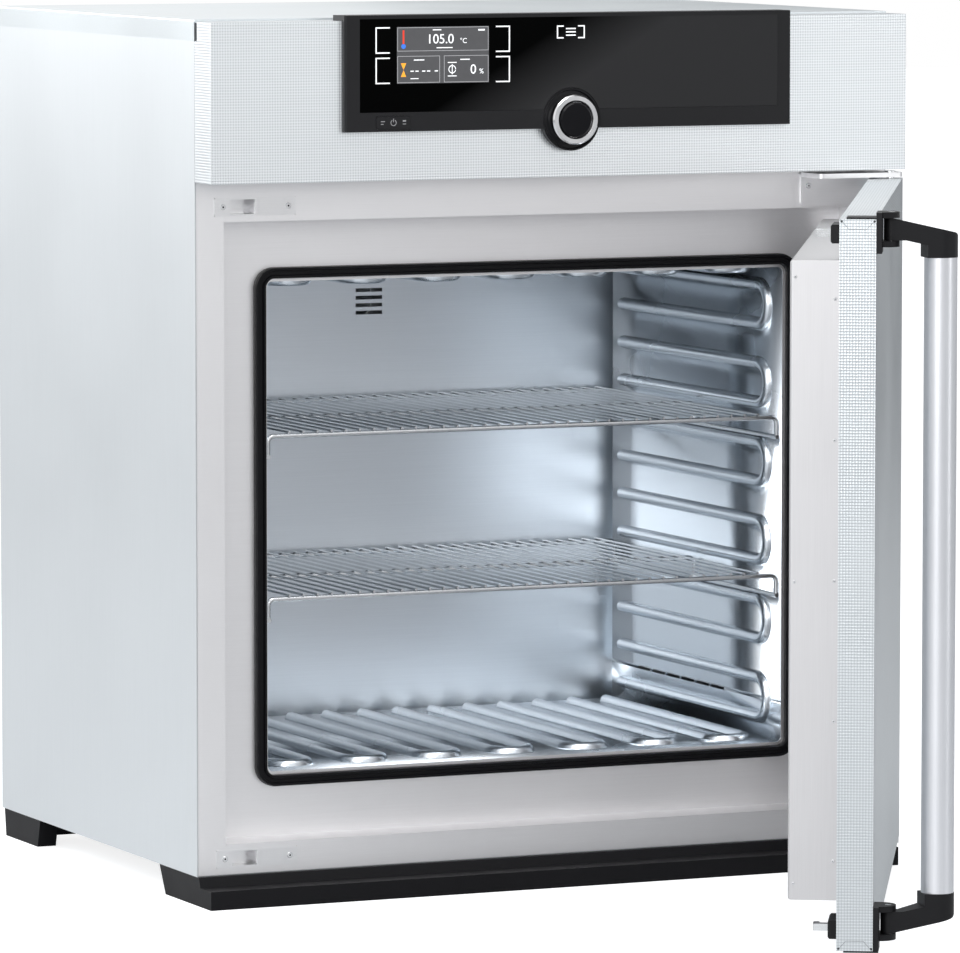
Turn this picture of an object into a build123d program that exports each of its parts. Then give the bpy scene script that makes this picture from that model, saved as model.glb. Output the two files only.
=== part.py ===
from build123d import *
import math
import os

# Laboratory oven with a plug door that stands open on its right-hand hinges.
# Millimetres. X runs to the right, Y to the back and Z up. The origin is on the
# floor, in the middle of the width, in the plane of the front frame.

# Chamber and the walls around it
chamber_width = 560.0
chamber_height = 480.0
chamber_depth = 400.0
side_wall = 92.5  # chamber to the cabinet's outside
rear_wall = 97.0
chamber_rise = 62.5  # recess floor up to the chamber floor
chamber_head = 61.5  # chamber ceiling up to the recess ceiling
recess_depth = 44.0
sheet = 1.0
seam_gap = 0.3  # between neighbouring sheets and mouldings

# Cabinet
base_height = 28.0  # floor to the underside of the cabinet
frame_border = 30.0
top_border = 38.7  # recess ceiling up to the control panel
control_height = 154.3
control_reach = 43.0  # front frame to the face of the control panel
lid_rise = 2.0  # control panel's top edge up to the lid
lid_height = 20.5
lid_notch = 7.0
panel_return = 15.0
frame_overlap = 15.0  # front frame behind the control panel

# Chamber ribs
rib_width = 13.5
rib_height = 7.0
rib_draft = 25.0
rib_bend_depth = 49.0  # chamber front to the centre of the bends
rib_bend_steps = 8  # flats in each half-round bend
rib_rear_gap = 21.0
side_rib_count = 6
floor_rib_count = 7

# Air path
inlet_slot_count = 6
inlet_slot_pitch = 35.0
inlet_slot_length = 29.0
inlet_slot_height = 4.0
inlet_slot_start = 131.0  # chamber front to the first slot
outlet_slot_count = 4
outlet_slot_pitch = 7.8
outlet_slot_width = 30.0
outlet_slot_height = 3.9
outlet_drop = 51.5  # chamber ceiling down to the outlet's centre
duct_radius = 29.0
duct_wall = 2.0
spigot_length = 20.0
spigot_wall = 1.0
flap_gap = 0.5
flap_thickness = 2.0
flap_setback = 41.0  # rear face forward to the flap's spindle
spindle_radius = 2.5
channel_depth = 16.0
channel_rise = 12.0  # intake slots up to the channel's top
motor_width = 44.0
motor_depth = 40.0
motor_height = 38.0
motor_socket = 10.0
spindle_reach = 9.0  # duct to the spindle's end in the motor

# Mains inlet and power supply
inlet_inset = 119.5  # cabinet side to the inlet's middle
inlet_rise = 82.0  # underside of the cabinet up to the inlet's middle
inlet_width = 30.0
inlet_height = 24.0
inlet_body = 21.0
inlet_flange = 6.0
socket_width = 24.0
socket_height = 17.0
socket_depth = 17.0
inlet_pin = 1.6
inlet_pin_height = 4.0
inlet_pin_pitch = 7.0
supply_width = 180.0
supply_depth = 150.0
supply_height = 60.0
supply_back = 140.0
box_chamfer = 3.0

# Heaters and insulation
heater_thickness = 2.5
heater_margin = 25.0
insulation_gap = 1.5
insulation_rear = 25.0

# Seal and chamber flange
opening_radius = 6.0
flange_width = 12.0
gasket_inset = 3.0  # chamber opening to the gasket
gasket_width = 11.0
gasket_base = 5.0
gasket_height = 8.0
gasket_ridge = 3.4
lip_taper = 12.0

# Door
door_gap = 10.0  # front frame to the door's inner face
door_bottom_gap = 1.0
door_top_gap = 9.2
plug_gap = 10.0
plug_depth = 46.0
plug_corner = 2.5
door_open_angle = 60.7
hinge_inset = 10.5
hinge_setback = 12.0  # outer door face to the pin axis
pin_radius = 4.0
running_gap = 0.06
pin_reach = 14.0
bushing_wall = 3.0
bracket_length = 95.5
bracket_thickness = 4.6
bracket_leg = 2.0
bracket_gap = 1.5
bracket_inset = 0.5
bracket_corner = 6.0
leg_corner = 4.0
leg_inset = 2.0  # below the edge of the frame's border
pin_head = 1.2
pin_flange = 1.5
press_gap = 0.03
fill_gap = 0.4  # round the insulation

# Latch
latch_inset = 15.0  # door's top and bottom edges to the hooks
pocket_inset = 36.5  # cabinet side to the strike pocket
pocket_width = 26.0
pocket_height = 14.0
strike_length = 85.0
strike_height = 17.5
strike_lead = 16.5  # strike plate's left end to the pocket
strike_proud = 0.4
strike_corner = 1.5
cup_depth = 15.0
cup_gap = 1.5  # hook at the end of its travel to the cup's end
hook_gap = 4.5
hook_width = 8.5
hook_thickness = 6.4
hook_reach = 23.0
hook_travel = 12.0
barb_width = 7.0
barb_length = 5.5
hook_corner = 1.5
slide_rear = 8.5  # slide behind the hook
slide_nose = 5.0  # slide in front of the hook
slide_depth = 8.5
run_gap = 1.0  # slide's free run beyond its travel
slide_gap = 0.35
case_wall = 3.0
case_depth = 15.0
case_lip = 1.5
case_proud = 9.0

# Handle
handle_inset = 22.5  # door edge to the handle's pivot
handle_plate = 5.0
pivot_standoff = 8.0
handle_swing = 46.0  # pivot to the tube's axis
handle_lean = 17.0
tube_radius = 15.0
tube_wall = 2.0
hub_drop = 9.9  # door's top edge down to the upper pivot's middle
hub_rise = 23.9  # door's bottom edge up to the lower pivot's middle
hub_height = 31.4
hub_radius = 15.2
knuckle_height = 20.0
knuckle_radius = 7.0
knuckle_gap = 0.35
arm_drop = 10.5
sleeve_cover = 0.4
crown_radius = 7.0
crook_radius = 4.0
elbow_height = 25.8
handle_pin_radius = 3.0
cap_thickness = 1.6
cap_length = 31.5
cap_height = 31.0
cap_depth = 26.7

# Control panel
cockpit_offset = 2.5
cockpit_width = 478.0
cockpit_height = 112.0
cockpit_rise = 5.3  # above the control panel's top edge
cockpit_proud = 7.5
cockpit_wrap = 30.5
cockpit_side = 15.0
cockpit_foot = 18.5
cockpit_head = 3.5
cockpit_edge = 3.0
glass_thickness = 2.0
glass_gap = 0.2
display_left = 53.8  # cockpit's left end to the display
display_width = 97.0
display_height = 54.5
display_drop = 11.5  # cockpit's top to the display
display_depth = 10.0
screen_frame = 3.0
knob_height = 8.6  # cockpit's lower edge to the knob's axis
surround_radius = 30.5
surround_dish = 2.0
ring_radius = 24.5
ring_depth = 12.6
ring_gap = 0.8  # above the dish of the surround
ring_taper = 0.3
surround_rim = 1.5
dish_taper = 30.0
web_thickness = 2.8  # ring's floor round the encoder's sleeve
rim_chamfer = 1.5
cap_radius = 17.0
button_gap = 0.4
button_thickness = 4.0
button_proud = 1.2
button_travel = 1.5
sleeve_radius = 4.0
sleeve_proud = 0.4
stem_radius = 2.1
stem_floor = 2.0
encoder_size = 24.0
encoder_depth = 12.0
key_width = 36.0
key_height = 12.0
key_left = 50.0
key_travel = 1.0
key_proud = 0.5
key_corner = 2.0
board_margin = 14.0
board_reach = 143.0  # display's end to the board's end
board_thickness = 1.6

# Grids
rod_radius = 2.5
rod_sides = 8
wire_radius = 1.25
wire_sides = 4
wire_count = 35
wire_inset = 25.0  # chamber wall to the outermost wires
weld_sink = 0.3  # wire pressed into the rod
grid_drop = 20.0
grid_wall_gap = 0.7
rest_gap = 0.3
rod_bend = 6.0
grid_front_gap = 6.0
grid_rear_gap = 12.0
upper_grid_leg = 5  # counted from the top
lower_grid_leg = 9

# Plinth
foot_width = 140.0
foot_length = 99.0
foot_taper = 16.0
plinth_reach = 36.0
plinth_step = 18.3
plinth_neck = 8.5
plinth_lead = 4.6
plinth_wall = 2.5
strip_flange = 20.0
rear_foot_length = 104.0
rear_foot_width = 20.0
rear_foot_gap = 7.0
rail_height = 17.0
rail_depth = 16.0
notch_gap = 0.7  # foot round the lower hinge bracket

# Places that follow from the sizes above
half_width = chamber_width / 2 + side_wall
chamber_half = chamber_width / 2
cabinet_back = recess_depth + chamber_depth + rear_wall
recess_half = half_width - frame_border
recess_floor = base_height + frame_border
chamber_floor_z = recess_floor + chamber_rise
chamber_top_z = chamber_floor_z + chamber_height
chamber_mid_z = (chamber_floor_z + chamber_top_z) / 2
chamber_back_y = recess_depth + chamber_depth
recess_top = chamber_top_z + chamber_head
fascia_bottom = recess_top + top_border
fascia_top = fascia_bottom + control_height
lid_top = fascia_top + lid_rise
lid_seam = lid_top - lid_height
door_bottom = base_height + door_bottom_gap
door_top = fascia_bottom - door_top_gap
door_front = -control_reach
hinge_x = half_width - hinge_inset
hinge_y = door_front + hinge_setback
outlet_z = chamber_top_z - outlet_drop
inlet_x = half_width - inlet_inset
inlet_z = base_height + inlet_rise
side_rib_pitch = chamber_height / side_rib_count
floor_rib_pitch = chamber_width / floor_rib_count
compartment_z = recess_top + 3 * sheet

# The door's pieces are made in the closed position and swung out about the pins
hinge_line = Location((hinge_x, hinge_y, 0))
door_pose = hinge_line * Location((0, 0, 0), (0, 0, door_open_angle)) * hinge_line.inverse()
pivot_x = -half_width + handle_inset
pivot_y = door_front - handle_plate - pivot_standoff
pivot_line = Location((pivot_x, pivot_y, 0))
handle_turn = pivot_line * Location((0, 0, 0), (0, 0, handle_lean)) * pivot_line.inverse()
handle_pose = door_pose * handle_turn

os.makedirs("parts", exist_ok=True)


def block(x, y, z, mode=Mode.ADD):
    """A rectangular block between two limits along each axis."""
    middle = tuple(sum(limits) / 2 for limits in (x, y, z))
    with Locations(middle):
        Box(x[1] - x[0], y[1] - y[0], z[1] - z[0], mode=mode)


def front_plane(depth):
    """Sketch plane at a depth, seen from the front: X to the right, Z up, and extrusions come forward."""
    return Plane.XZ.offset(-depth)


def save(piece, name, pose=Location()):
    """Label a finished piece and write it where it stands at rest."""
    placed = piece.part.moved(pose)
    placed.label = name
    export_step(placed, f"parts/{name}.step")


def rounded_ring(plane, outer, inner, outer_radius, inner_radius, middle):
    """Flat ring between two rounded rectangles, each given by its width and height."""
    with BuildSketch(plane) as ring:
        with Locations(middle):
            RectangleRounded(*outer, outer_radius)
            RectangleRounded(*inner, inner_radius, mode=Mode.SUBTRACT)
    return ring.sketch


# Moulded plinth: two corner feet in front with a stepped profile, and the strip between them
def foot_profile(plane):
    """Side view of a front foot: leaning front, step, lip and tapered back."""
    with BuildSketch(plane) as profile:
        Polygon(
            (-plinth_lead, base_height),
            (-plinth_neck, plinth_step),
            (-plinth_reach, plinth_step),
            (-plinth_reach, 0),
            (foot_length - foot_taper, 0),
            (foot_length, base_height),
            align=None,
        )
    return profile.sketch


with BuildPart() as plinth_foot_left:
    extrude(foot_profile(Plane.YZ.offset(-half_width)), amount=foot_width)
save(plinth_foot_left, "plinth_foot_left")

bracket_left = half_width - bracket_length
with BuildPart() as plinth_foot_right:
    extrude(foot_profile(Plane.YZ.offset(half_width)), amount=-foot_width)
    block(
        (bracket_left - notch_gap, half_width),
        (-plinth_neck - notch_gap, notch_gap),
        (base_height - bracket_thickness - notch_gap, base_height),
        mode=Mode.SUBTRACT,
    )
save(plinth_foot_right, "plinth_foot_right")

strip_half = half_width - foot_width
with BuildPart() as plinth_strip:
    with BuildSketch(Plane.YZ.offset(-strip_half)):
        Polygon(
            (-plinth_lead, base_height),
            (-plinth_neck, plinth_step),
            (-plinth_reach, plinth_step),
            (-plinth_reach, 0),
            (strip_flange, 0),
            (strip_flange, plinth_wall),
            (-plinth_reach + plinth_wall, plinth_wall),
            (-plinth_reach + plinth_wall, plinth_step - plinth_wall),
            (-plinth_neck + plinth_wall, plinth_step - plinth_wall),
            (-plinth_lead + plinth_wall, base_height - plinth_wall),
            (strip_flange, base_height - plinth_wall),
            (strip_flange, base_height),
            align=None,
        )
    extrude(amount=2 * strip_half)
save(plinth_strip, "plinth_strip")

rear_foot_back = cabinet_back - rear_foot_gap
rear_foot_front = rear_foot_back - rear_foot_length
with BuildPart() as rear_feet:
    with BuildSketch(Plane.YZ.offset(half_width - rear_foot_width)):
        Polygon(
            (rear_foot_front, base_height),
            (rear_foot_front + foot_taper / 2, 0),
            (rear_foot_back - foot_taper / 4, 0),
            (rear_foot_back, base_height),
            align=None,
        )
    extrude(amount=rear_foot_width)
    mirror(about=Plane.YZ)
save(rear_feet, "rear_feet")

rail_half = half_width - rear_foot_width
rail_front = rear_foot_front + foot_taper / 2
with BuildPart() as rear_rail:
    block(
        (-rail_half, rail_half),
        (rail_front, rail_front + rail_depth),
        (base_height - rail_height, base_height),
    )
save(rear_rail, "rear_rail")

# Outer cabinet of folded sheet
inside_half = half_width - sheet
rear_inside = cabinet_back - sheet
with BuildPart() as bottom_pan:
    block((-inside_half, inside_half), (sheet, rear_inside), (base_height, base_height + sheet))
save(bottom_pan, "bottom_pan")

for side, name in ((-1, "side_panel_left"), (1, "side_panel_right")):
    outer = side * half_width
    inner = side * inside_half
    flange_end = side * (half_width - panel_return)
    with BuildPart() as side_panel:
        block(sorted((outer, inner)), (0, cabinet_back), (base_height, lid_seam))
        block(sorted((outer, flange_end)), (rear_inside, cabinet_back), (base_height, lid_seam))
    save(side_panel, name)

with BuildPart() as lid:
    block((-half_width, half_width), (0, cabinet_back), (lid_seam, lid_top))
    fillet(lid.edges().filter_by(Axis.Y).group_by(Axis.Z)[-1], radius=2 * sheet)
    block(
        (-inside_half, inside_half),
        (sheet, rear_inside),
        (lid_seam, lid_top - sheet),
        mode=Mode.SUBTRACT,
    )
save(lid, "lid")

panel_half = half_width - panel_return - seam_gap
with BuildPart() as rear_panel:
    block((-panel_half, panel_half), (rear_inside, cabinet_back), (base_height + sheet, lid_seam))
    with BuildSketch(front_plane(cabinet_back)):
        with Locations((0, outlet_z)):
            Circle(duct_radius + seam_gap)
        with Locations((inlet_x, inlet_z)):
            Rectangle(inlet_width, inlet_height)
    extrude(amount=sheet, mode=Mode.SUBTRACT)
save(rear_panel, "rear_panel")

with BuildPart() as power_inlet:
    block(
        (inlet_x - inlet_width / 2, inlet_x + inlet_width / 2),
        (cabinet_back - inlet_body, cabinet_back),
        (inlet_z - inlet_height / 2, inlet_z + inlet_height / 2),
    )
    block(
        (inlet_x - inlet_width / 2 - inlet_flange, inlet_x + inlet_width / 2 + inlet_flange),
        (cabinet_back, cabinet_back + 2 * sheet),
        (inlet_z - inlet_height / 2 - inlet_flange / 2, inlet_z + inlet_height / 2 + inlet_flange / 2),
    )
    with BuildSketch(front_plane(cabinet_back + 2 * sheet)):
        with Locations((inlet_x, inlet_z)):
            RectangleRounded(socket_width, socket_height, box_chamfer)
    extrude(amount=socket_depth, mode=Mode.SUBTRACT)
    socket_back = cabinet_back + 2 * sheet - socket_depth
    for column in (-1, 0, 1):
        pin_x = inlet_x + column * inlet_pin_pitch
        pin_z = inlet_z + inlet_pin_height / 2 - abs(column) * inlet_pin_height
        block(
            (pin_x - inlet_pin / 2, pin_x + inlet_pin / 2),
            (socket_back, cabinet_back - sheet),
            (pin_z - inlet_pin_height / 2, pin_z + inlet_pin_height / 2),
        )
save(power_inlet, "power_inlet")

# Front frame, the recess behind it and the strike plates
pocket_left = -half_width + pocket_inset
strike_left = pocket_left - strike_lead
strike_heights = {"top": door_top - latch_inset, "bottom": door_bottom + latch_inset}
frame_half = inside_half - seam_gap
with BuildPart() as front_frame:
    block((-frame_half, frame_half), (0, sheet), (base_height + sheet, fascia_bottom + frame_overlap))
    block(
        (-recess_half - sheet, recess_half + sheet),
        (0, sheet),
        (recess_floor - sheet, recess_top + sheet),
        mode=Mode.SUBTRACT,
    )
    for strike_z in strike_heights.values():
        block(
            (strike_left, strike_left + strike_length),
            (0, sheet),
            (strike_z - strike_height / 2, strike_z + strike_height / 2),
            mode=Mode.SUBTRACT,
        )
save(front_frame, "front_frame")

window = (chamber_width + 2 * flange_width, chamber_height + 2 * flange_width)
window_radius = opening_radius + flange_width
chamber_middle = (0, chamber_mid_z)
with BuildPart() as recess_pan:
    block(
        (-recess_half - sheet, recess_half + sheet),
        (0, recess_depth + sheet),
        (recess_floor - sheet, recess_top + sheet),
    )
    block((-recess_half, recess_half), (0, recess_depth), (recess_floor, recess_top), mode=Mode.SUBTRACT)
    with BuildSketch(front_plane(recess_depth)):
        with Locations(chamber_middle):
            RectangleRounded(*window, window_radius)
    extrude(amount=-sheet, mode=Mode.SUBTRACT)
save(recess_pan, "recess_pan")

hook_left = pocket_left + hook_gap
hook_right = hook_left + hook_width
cup_end = hook_right + barb_width + hook_travel + cup_gap
cup_half = pocket_height / 2 + sheet
for place, strike_z in strike_heights.items():
    with BuildPart() as strike_plate:
        block(
            (strike_left, strike_left + strike_length),
            (-strike_proud, sheet),
            (strike_z - strike_height / 2, strike_z + strike_height / 2),
        )
        fillet(strike_plate.edges().filter_by(Axis.Y), radius=strike_corner)
        block(
            (pocket_left - 2 * sheet, cup_end + sheet),
            (sheet, cup_depth + 2 * sheet),
            (strike_z - cup_half, strike_z + cup_half),
        )
        block(
            (pocket_left - sheet, cup_end),
            (sheet, cup_depth + sheet),
            (strike_z - pocket_height / 2, strike_z + pocket_height / 2),
            mode=Mode.SUBTRACT,
        )
        block(
            (pocket_left, pocket_left + pocket_width),
            (-strike_proud, sheet),
            (strike_z - pocket_height / 2, strike_z + pocket_height / 2),
            mode=Mode.SUBTRACT,
        )
    save(strike_plate, f"strike_plate_{place}")

# Heated chamber of deep-drawn sheet. Each wall carries U-shaped pressed ribs, hollow from
# behind, whose legs hold the grids.
bend_y = recess_depth + rib_bend_depth
rib_end_y = chamber_back_y - rib_rear_gap
flank = math.radians(rib_draft)
flank_run = rib_height * math.tan(flank)


def rib_outline(plane, centre, pitch, inset):
    """One U lying on a wall: two legs joined by a bend in front, narrowed by an inset."""
    outer = pitch / 4 + rib_width / 2 - inset
    inner = pitch / 4 - rib_width / 2 + inset
    end = rib_end_y - inset
    turns = [math.pi / 2 - math.pi * step / rib_bend_steps for step in range(rib_bend_steps + 1)]
    outside = [(bend_y - outer * math.cos(turn), centre + outer * math.sin(turn)) for turn in turns]
    inside = [(bend_y - inner * math.cos(turn), centre + inner * math.sin(turn)) for turn in turns]
    ends = [(end, centre + outer), (end, centre - outer), (end, centre - inner), (end, centre + inner)]
    with BuildSketch(plane) as outline:
        Polygon(ends[0], *outside, ends[1], ends[2], *reversed(inside), ends[3], align=None)
    return outline.sketch


def rib_solid(plane, centre, pitch, inset, mode=Mode.ADD):
    """One drawn rib with sloping flanks, narrowed by an inset all round."""
    foot = rib_outline(plane, centre, pitch, inset)
    crown = rib_outline(plane.offset(rib_height), centre, pitch, inset + flank_run)
    loft([foot.face(), crown.face()], ruled=True, mode=mode)


def press_ribs(plane, count, pitch):
    """Press a row of ribs into the wall whose inner face lies on the plane."""
    centres = [(number - (count - 1) / 2) * pitch for number in range(count)]
    for centre in centres:
        rib_solid(plane, centre, pitch, 0)
    for centre in centres:
        rib_solid(plane.offset(-sheet), centre, pitch, sheet, mode=Mode.SUBTRACT)


wall_front = recess_depth + sheet
shell_half = chamber_half + sheet
with BuildPart() as chamber_left:
    block((-shell_half, -chamber_half), (wall_front, chamber_back_y), (chamber_floor_z, chamber_top_z))
    left_wall = Plane((-chamber_half, 0, chamber_mid_z), (0, 1, 0), (1, 0, 0))
    press_ribs(left_wall, side_rib_count, side_rib_pitch)
save(chamber_left, "chamber_left")

inlet_row_z = chamber_floor_z + side_rib_pitch / 2
first_slot_y = recess_depth + inlet_slot_start
with BuildPart() as chamber_right:
    block((chamber_half, shell_half), (wall_front, chamber_back_y), (chamber_floor_z, chamber_top_z))
    right_wall = Plane((chamber_half, 0, chamber_mid_z), (0, 1, 0), (-1, 0, 0))
    press_ribs(right_wall, side_rib_count, side_rib_pitch)
    for number in range(inlet_slot_count):
        slot_y = first_slot_y + number * inlet_slot_pitch
        block(
            (chamber_half, shell_half),
            (slot_y, slot_y + inlet_slot_length),
            (inlet_row_z - inlet_slot_height / 2, inlet_row_z + inlet_slot_height / 2),
            mode=Mode.SUBTRACT,
        )
save(chamber_right, "chamber_right")

with BuildPart() as chamber_floor:
    block(
        (-shell_half, shell_half),
        (wall_front, chamber_back_y),
        (chamber_floor_z - sheet, chamber_floor_z),
    )
    floor_wall = Plane((0, 0, chamber_floor_z), (0, 1, 0), (0, 0, 1))
    press_ribs(floor_wall, floor_rib_count, floor_rib_pitch)
save(chamber_floor, "chamber_floor")

with BuildPart() as chamber_ceiling:
    block(
        (-shell_half, shell_half),
        (wall_front, chamber_back_y),
        (chamber_top_z, chamber_top_z + sheet),
    )
    ceiling_wall = Plane((0, 0, chamber_top_z), (0, 1, 0), (0, 0, -1))
    press_ribs(ceiling_wall, floor_rib_count, floor_rib_pitch)
save(chamber_ceiling, "chamber_ceiling")

shell_back = chamber_back_y + sheet
with BuildPart() as chamber_back:
    block(
        (-shell_half, shell_half),
        (chamber_back_y, shell_back),
        (chamber_floor_z - sheet, chamber_top_z + sheet),
    )
    with BuildSketch(front_plane(chamber_back_y)):
        with Locations((0, outlet_z)):
            with GridLocations(1, outlet_slot_pitch, 1, outlet_slot_count):
                Rectangle(outlet_slot_width, outlet_slot_height)
    extrude(amount=-sheet, mode=Mode.SUBTRACT)
save(chamber_back, "chamber_back")

opening = (chamber_width, chamber_height)
with BuildPart() as chamber_flange:
    flange_plane = front_plane(recess_depth)
    flange_ring = rounded_ring(
        flange_plane, window, opening, window_radius, opening_radius, chamber_middle
    )
    extrude(flange_ring, amount=-sheet)
save(chamber_flange, "chamber_flange")


# Door seal with two lips, all round the chamber opening
def gasket_ring(first, second, base):
    """Rounded ring between two distances from the chamber opening."""
    outer = [size + 2 * second for size in opening]
    inner = [size + 2 * first for size in opening]
    return rounded_ring(
        front_plane(base), outer, inner, opening_radius + second, opening_radius + first, chamber_middle
    )


gasket_end = gasket_inset + gasket_width
with BuildPart() as door_gasket:
    extrude(gasket_ring(gasket_inset, gasket_end, recess_depth), amount=gasket_base)
    lip_base = recess_depth - gasket_base
    for first in (gasket_inset, gasket_end - gasket_ridge):
        lip = gasket_ring(first, first + gasket_ridge, lip_base)
        extrude(lip, amount=gasket_height - gasket_base, taper=lip_taper)
save(door_gasket, "door_gasket")

# Heating sheets on four sides of the chamber, air path, and insulation around all of it
heater_y = (wall_front + heater_margin, chamber_back_y - heater_margin)
heater_outer = shell_half + heater_thickness
heater_half = chamber_half - heater_margin
right_heater_z = inlet_row_z + side_rib_pitch / 4 + rib_width
heater_top = chamber_top_z - heater_margin
floor_outside = chamber_floor_z - sheet
ceiling_outside = chamber_top_z + sheet
with BuildPart() as wall_heaters:
    block((-heater_outer, -shell_half), heater_y, (chamber_floor_z + heater_margin, heater_top))
    block((shell_half, heater_outer), heater_y, (right_heater_z, heater_top))
    block((-heater_half, heater_half), heater_y, (floor_outside - heater_thickness, floor_outside))
    block(
        (-heater_half, heater_half), heater_y, (ceiling_outside, ceiling_outside + heater_thickness)
    )
save(wall_heaters, "wall_heaters")

slot_gap = inlet_slot_pitch - inlet_slot_length
channel_y = (first_slot_y - slot_gap, first_slot_y + inlet_slot_count * inlet_slot_pitch)
channel_z = (chamber_floor_z, inlet_row_z + channel_rise)
channel_outer = shell_half + channel_depth
with BuildPart() as intake_channel:
    block((shell_half, channel_outer), channel_y, channel_z)
    block(
        (shell_half, channel_outer - sheet),
        (channel_y[0] + sheet, channel_y[1] - sheet),
        (channel_z[0], channel_z[1] - sheet),
        mode=Mode.SUBTRACT,
    )
save(intake_channel, "intake_channel")

flap_y = cabinet_back - flap_setback
duct_bore = duct_radius - duct_wall
collar_end = cabinet_back + sheet / 2
with BuildPart() as exhaust_duct:
    with BuildSketch(front_plane(shell_back)):
        with Locations((0, outlet_z)):
            Circle(duct_radius)
            Circle(duct_bore, mode=Mode.SUBTRACT)
    extrude(amount=shell_back - collar_end)
    with BuildSketch(front_plane(collar_end)):
        with Locations((0, outlet_z)):
            Circle(duct_bore + spigot_wall)
            Circle(duct_bore, mode=Mode.SUBTRACT)
    extrude(amount=-spigot_length)
    with Locations((0, flap_y, outlet_z)):
        Cylinder(
            spindle_radius + running_gap, 2 * duct_radius, rotation=(0, 90, 0), mode=Mode.SUBTRACT
        )
save(exhaust_duct, "exhaust_duct")

motor_left = -duct_radius - seam_gap - motor_width
spindle_left = -duct_radius - spindle_reach
spindle_right = duct_radius + spindle_radius / 2
with BuildPart() as exhaust_flap:
    with Locations((0, flap_y, outlet_z)):
        Cylinder(duct_bore - flap_gap, flap_thickness, rotation=(90, 0, 0))
    with BuildSketch(Plane.YZ.offset(spindle_left)):
        with Locations((flap_y, outlet_z)):
            Circle(spindle_radius)
    extrude(amount=spindle_right - spindle_left)
save(exhaust_flap, "exhaust_flap")

with BuildPart() as flap_motor:
    block(
        (motor_left, motor_left + motor_width),
        (flap_y - motor_depth / 2, flap_y + motor_depth / 2),
        (outlet_z - motor_height / 2, outlet_z + motor_height / 2),
    )
    chamfer(flap_motor.edges().filter_by(Axis.X), length=box_chamfer)
    with BuildSketch(Plane.YZ.offset(motor_left + motor_width)):
        with Locations((flap_y, outlet_z)):
            Circle(spindle_radius + running_gap)
    extrude(amount=-motor_socket, mode=Mode.SUBTRACT)
save(flap_motor, "flap_motor")

lagging_half = inside_half - insulation_gap
lagging_hole = heater_outer + fill_gap
with BuildPart() as insulation:
    block(
        (-lagging_half, lagging_half),
        (recess_depth + 2 * sheet, shell_back + insulation_rear),
        (base_height + sheet + insulation_gap, recess_top + sheet),
    )
    block(
        (-lagging_hole, lagging_hole),
        (recess_depth, shell_back + fill_gap),
        (
            floor_outside - heater_thickness - fill_gap,
            ceiling_outside + heater_thickness + fill_gap,
        ),
        mode=Mode.SUBTRACT,
    )
    block(
        (shell_half, channel_outer + fill_gap),
        (channel_y[0] - fill_gap, channel_y[1] + fill_gap),
        (channel_z[0], channel_z[1] + fill_gap),
        mode=Mode.SUBTRACT,
    )
    with BuildSketch(front_plane(shell_back)):
        with Locations((0, outlet_z)):
            Circle(duct_radius + fill_gap)
    extrude(amount=-insulation_rear, mode=Mode.SUBTRACT)
save(insulation, "insulation")

# Electronics bay above the chamber
with BuildPart() as compartment_floor:
    block((-inside_half, inside_half), (sheet, rear_inside), (compartment_z, compartment_z + sheet))
save(compartment_floor, "compartment_floor")

with BuildPart() as power_supply:
    block(
        (-supply_width / 2, supply_width / 2),
        (cabinet_back - supply_back - supply_depth, cabinet_back - supply_back),
        (compartment_z + sheet, compartment_z + sheet + supply_height),
    )
    chamfer(power_supply.edges().filter_by(Axis.Z), length=box_chamfer)
save(power_supply, "power_supply")

# Control panel: folded fascia, moulded cockpit with glass, display, knob and power key
cockpit_top = fascia_top + cockpit_rise
cockpit_bottom = cockpit_top - cockpit_height
cockpit_left = cockpit_offset - cockpit_width / 2
cockpit_right = cockpit_offset + cockpit_width / 2
cockpit_front = door_front - cockpit_proud
glass_left = cockpit_left + cockpit_side
glass_right = cockpit_right - cockpit_side
glass_bottom = cockpit_bottom + cockpit_foot
glass_top = cockpit_top - cockpit_head
knob_z = cockpit_bottom + knob_height
screen_x = (cockpit_left + display_left, cockpit_left + display_left + display_width)
screen_z = (cockpit_top - display_drop - display_height, cockpit_top - display_drop)
module_x = (screen_x[0] - screen_frame, screen_x[1] + screen_frame)
module_z = (screen_z[0] - screen_frame, screen_z[1] + screen_frame)
sleeve_hole = sleeve_radius + seam_gap
with BuildPart() as fascia:
    block((-half_width, half_width), (door_front, -sheet / 2), (fascia_bottom, fascia_top))
    block(
        (-inside_half, inside_half),
        (door_front + sheet, 0),
        (fascia_bottom + sheet, fascia_top - sheet),
        mode=Mode.SUBTRACT,
    )
    for notch in ((-half_width, -inside_half), (inside_half, half_width)):
        block(notch, (-lid_notch, 0), (lid_seam, fascia_top), mode=Mode.SUBTRACT)
    block(
        (module_x[0] - glass_gap, module_x[1] + glass_gap),
        (door_front, door_front + sheet),
        (module_z[0] - glass_gap, module_z[1] + glass_gap),
        mode=Mode.SUBTRACT,
    )
    with BuildSketch(front_plane(door_front)):
        with Locations((cockpit_offset, knob_z)):
            Circle(sleeve_hole)
    extrude(amount=-sheet, mode=Mode.SUBTRACT)
save(fascia, "fascia")

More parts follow.
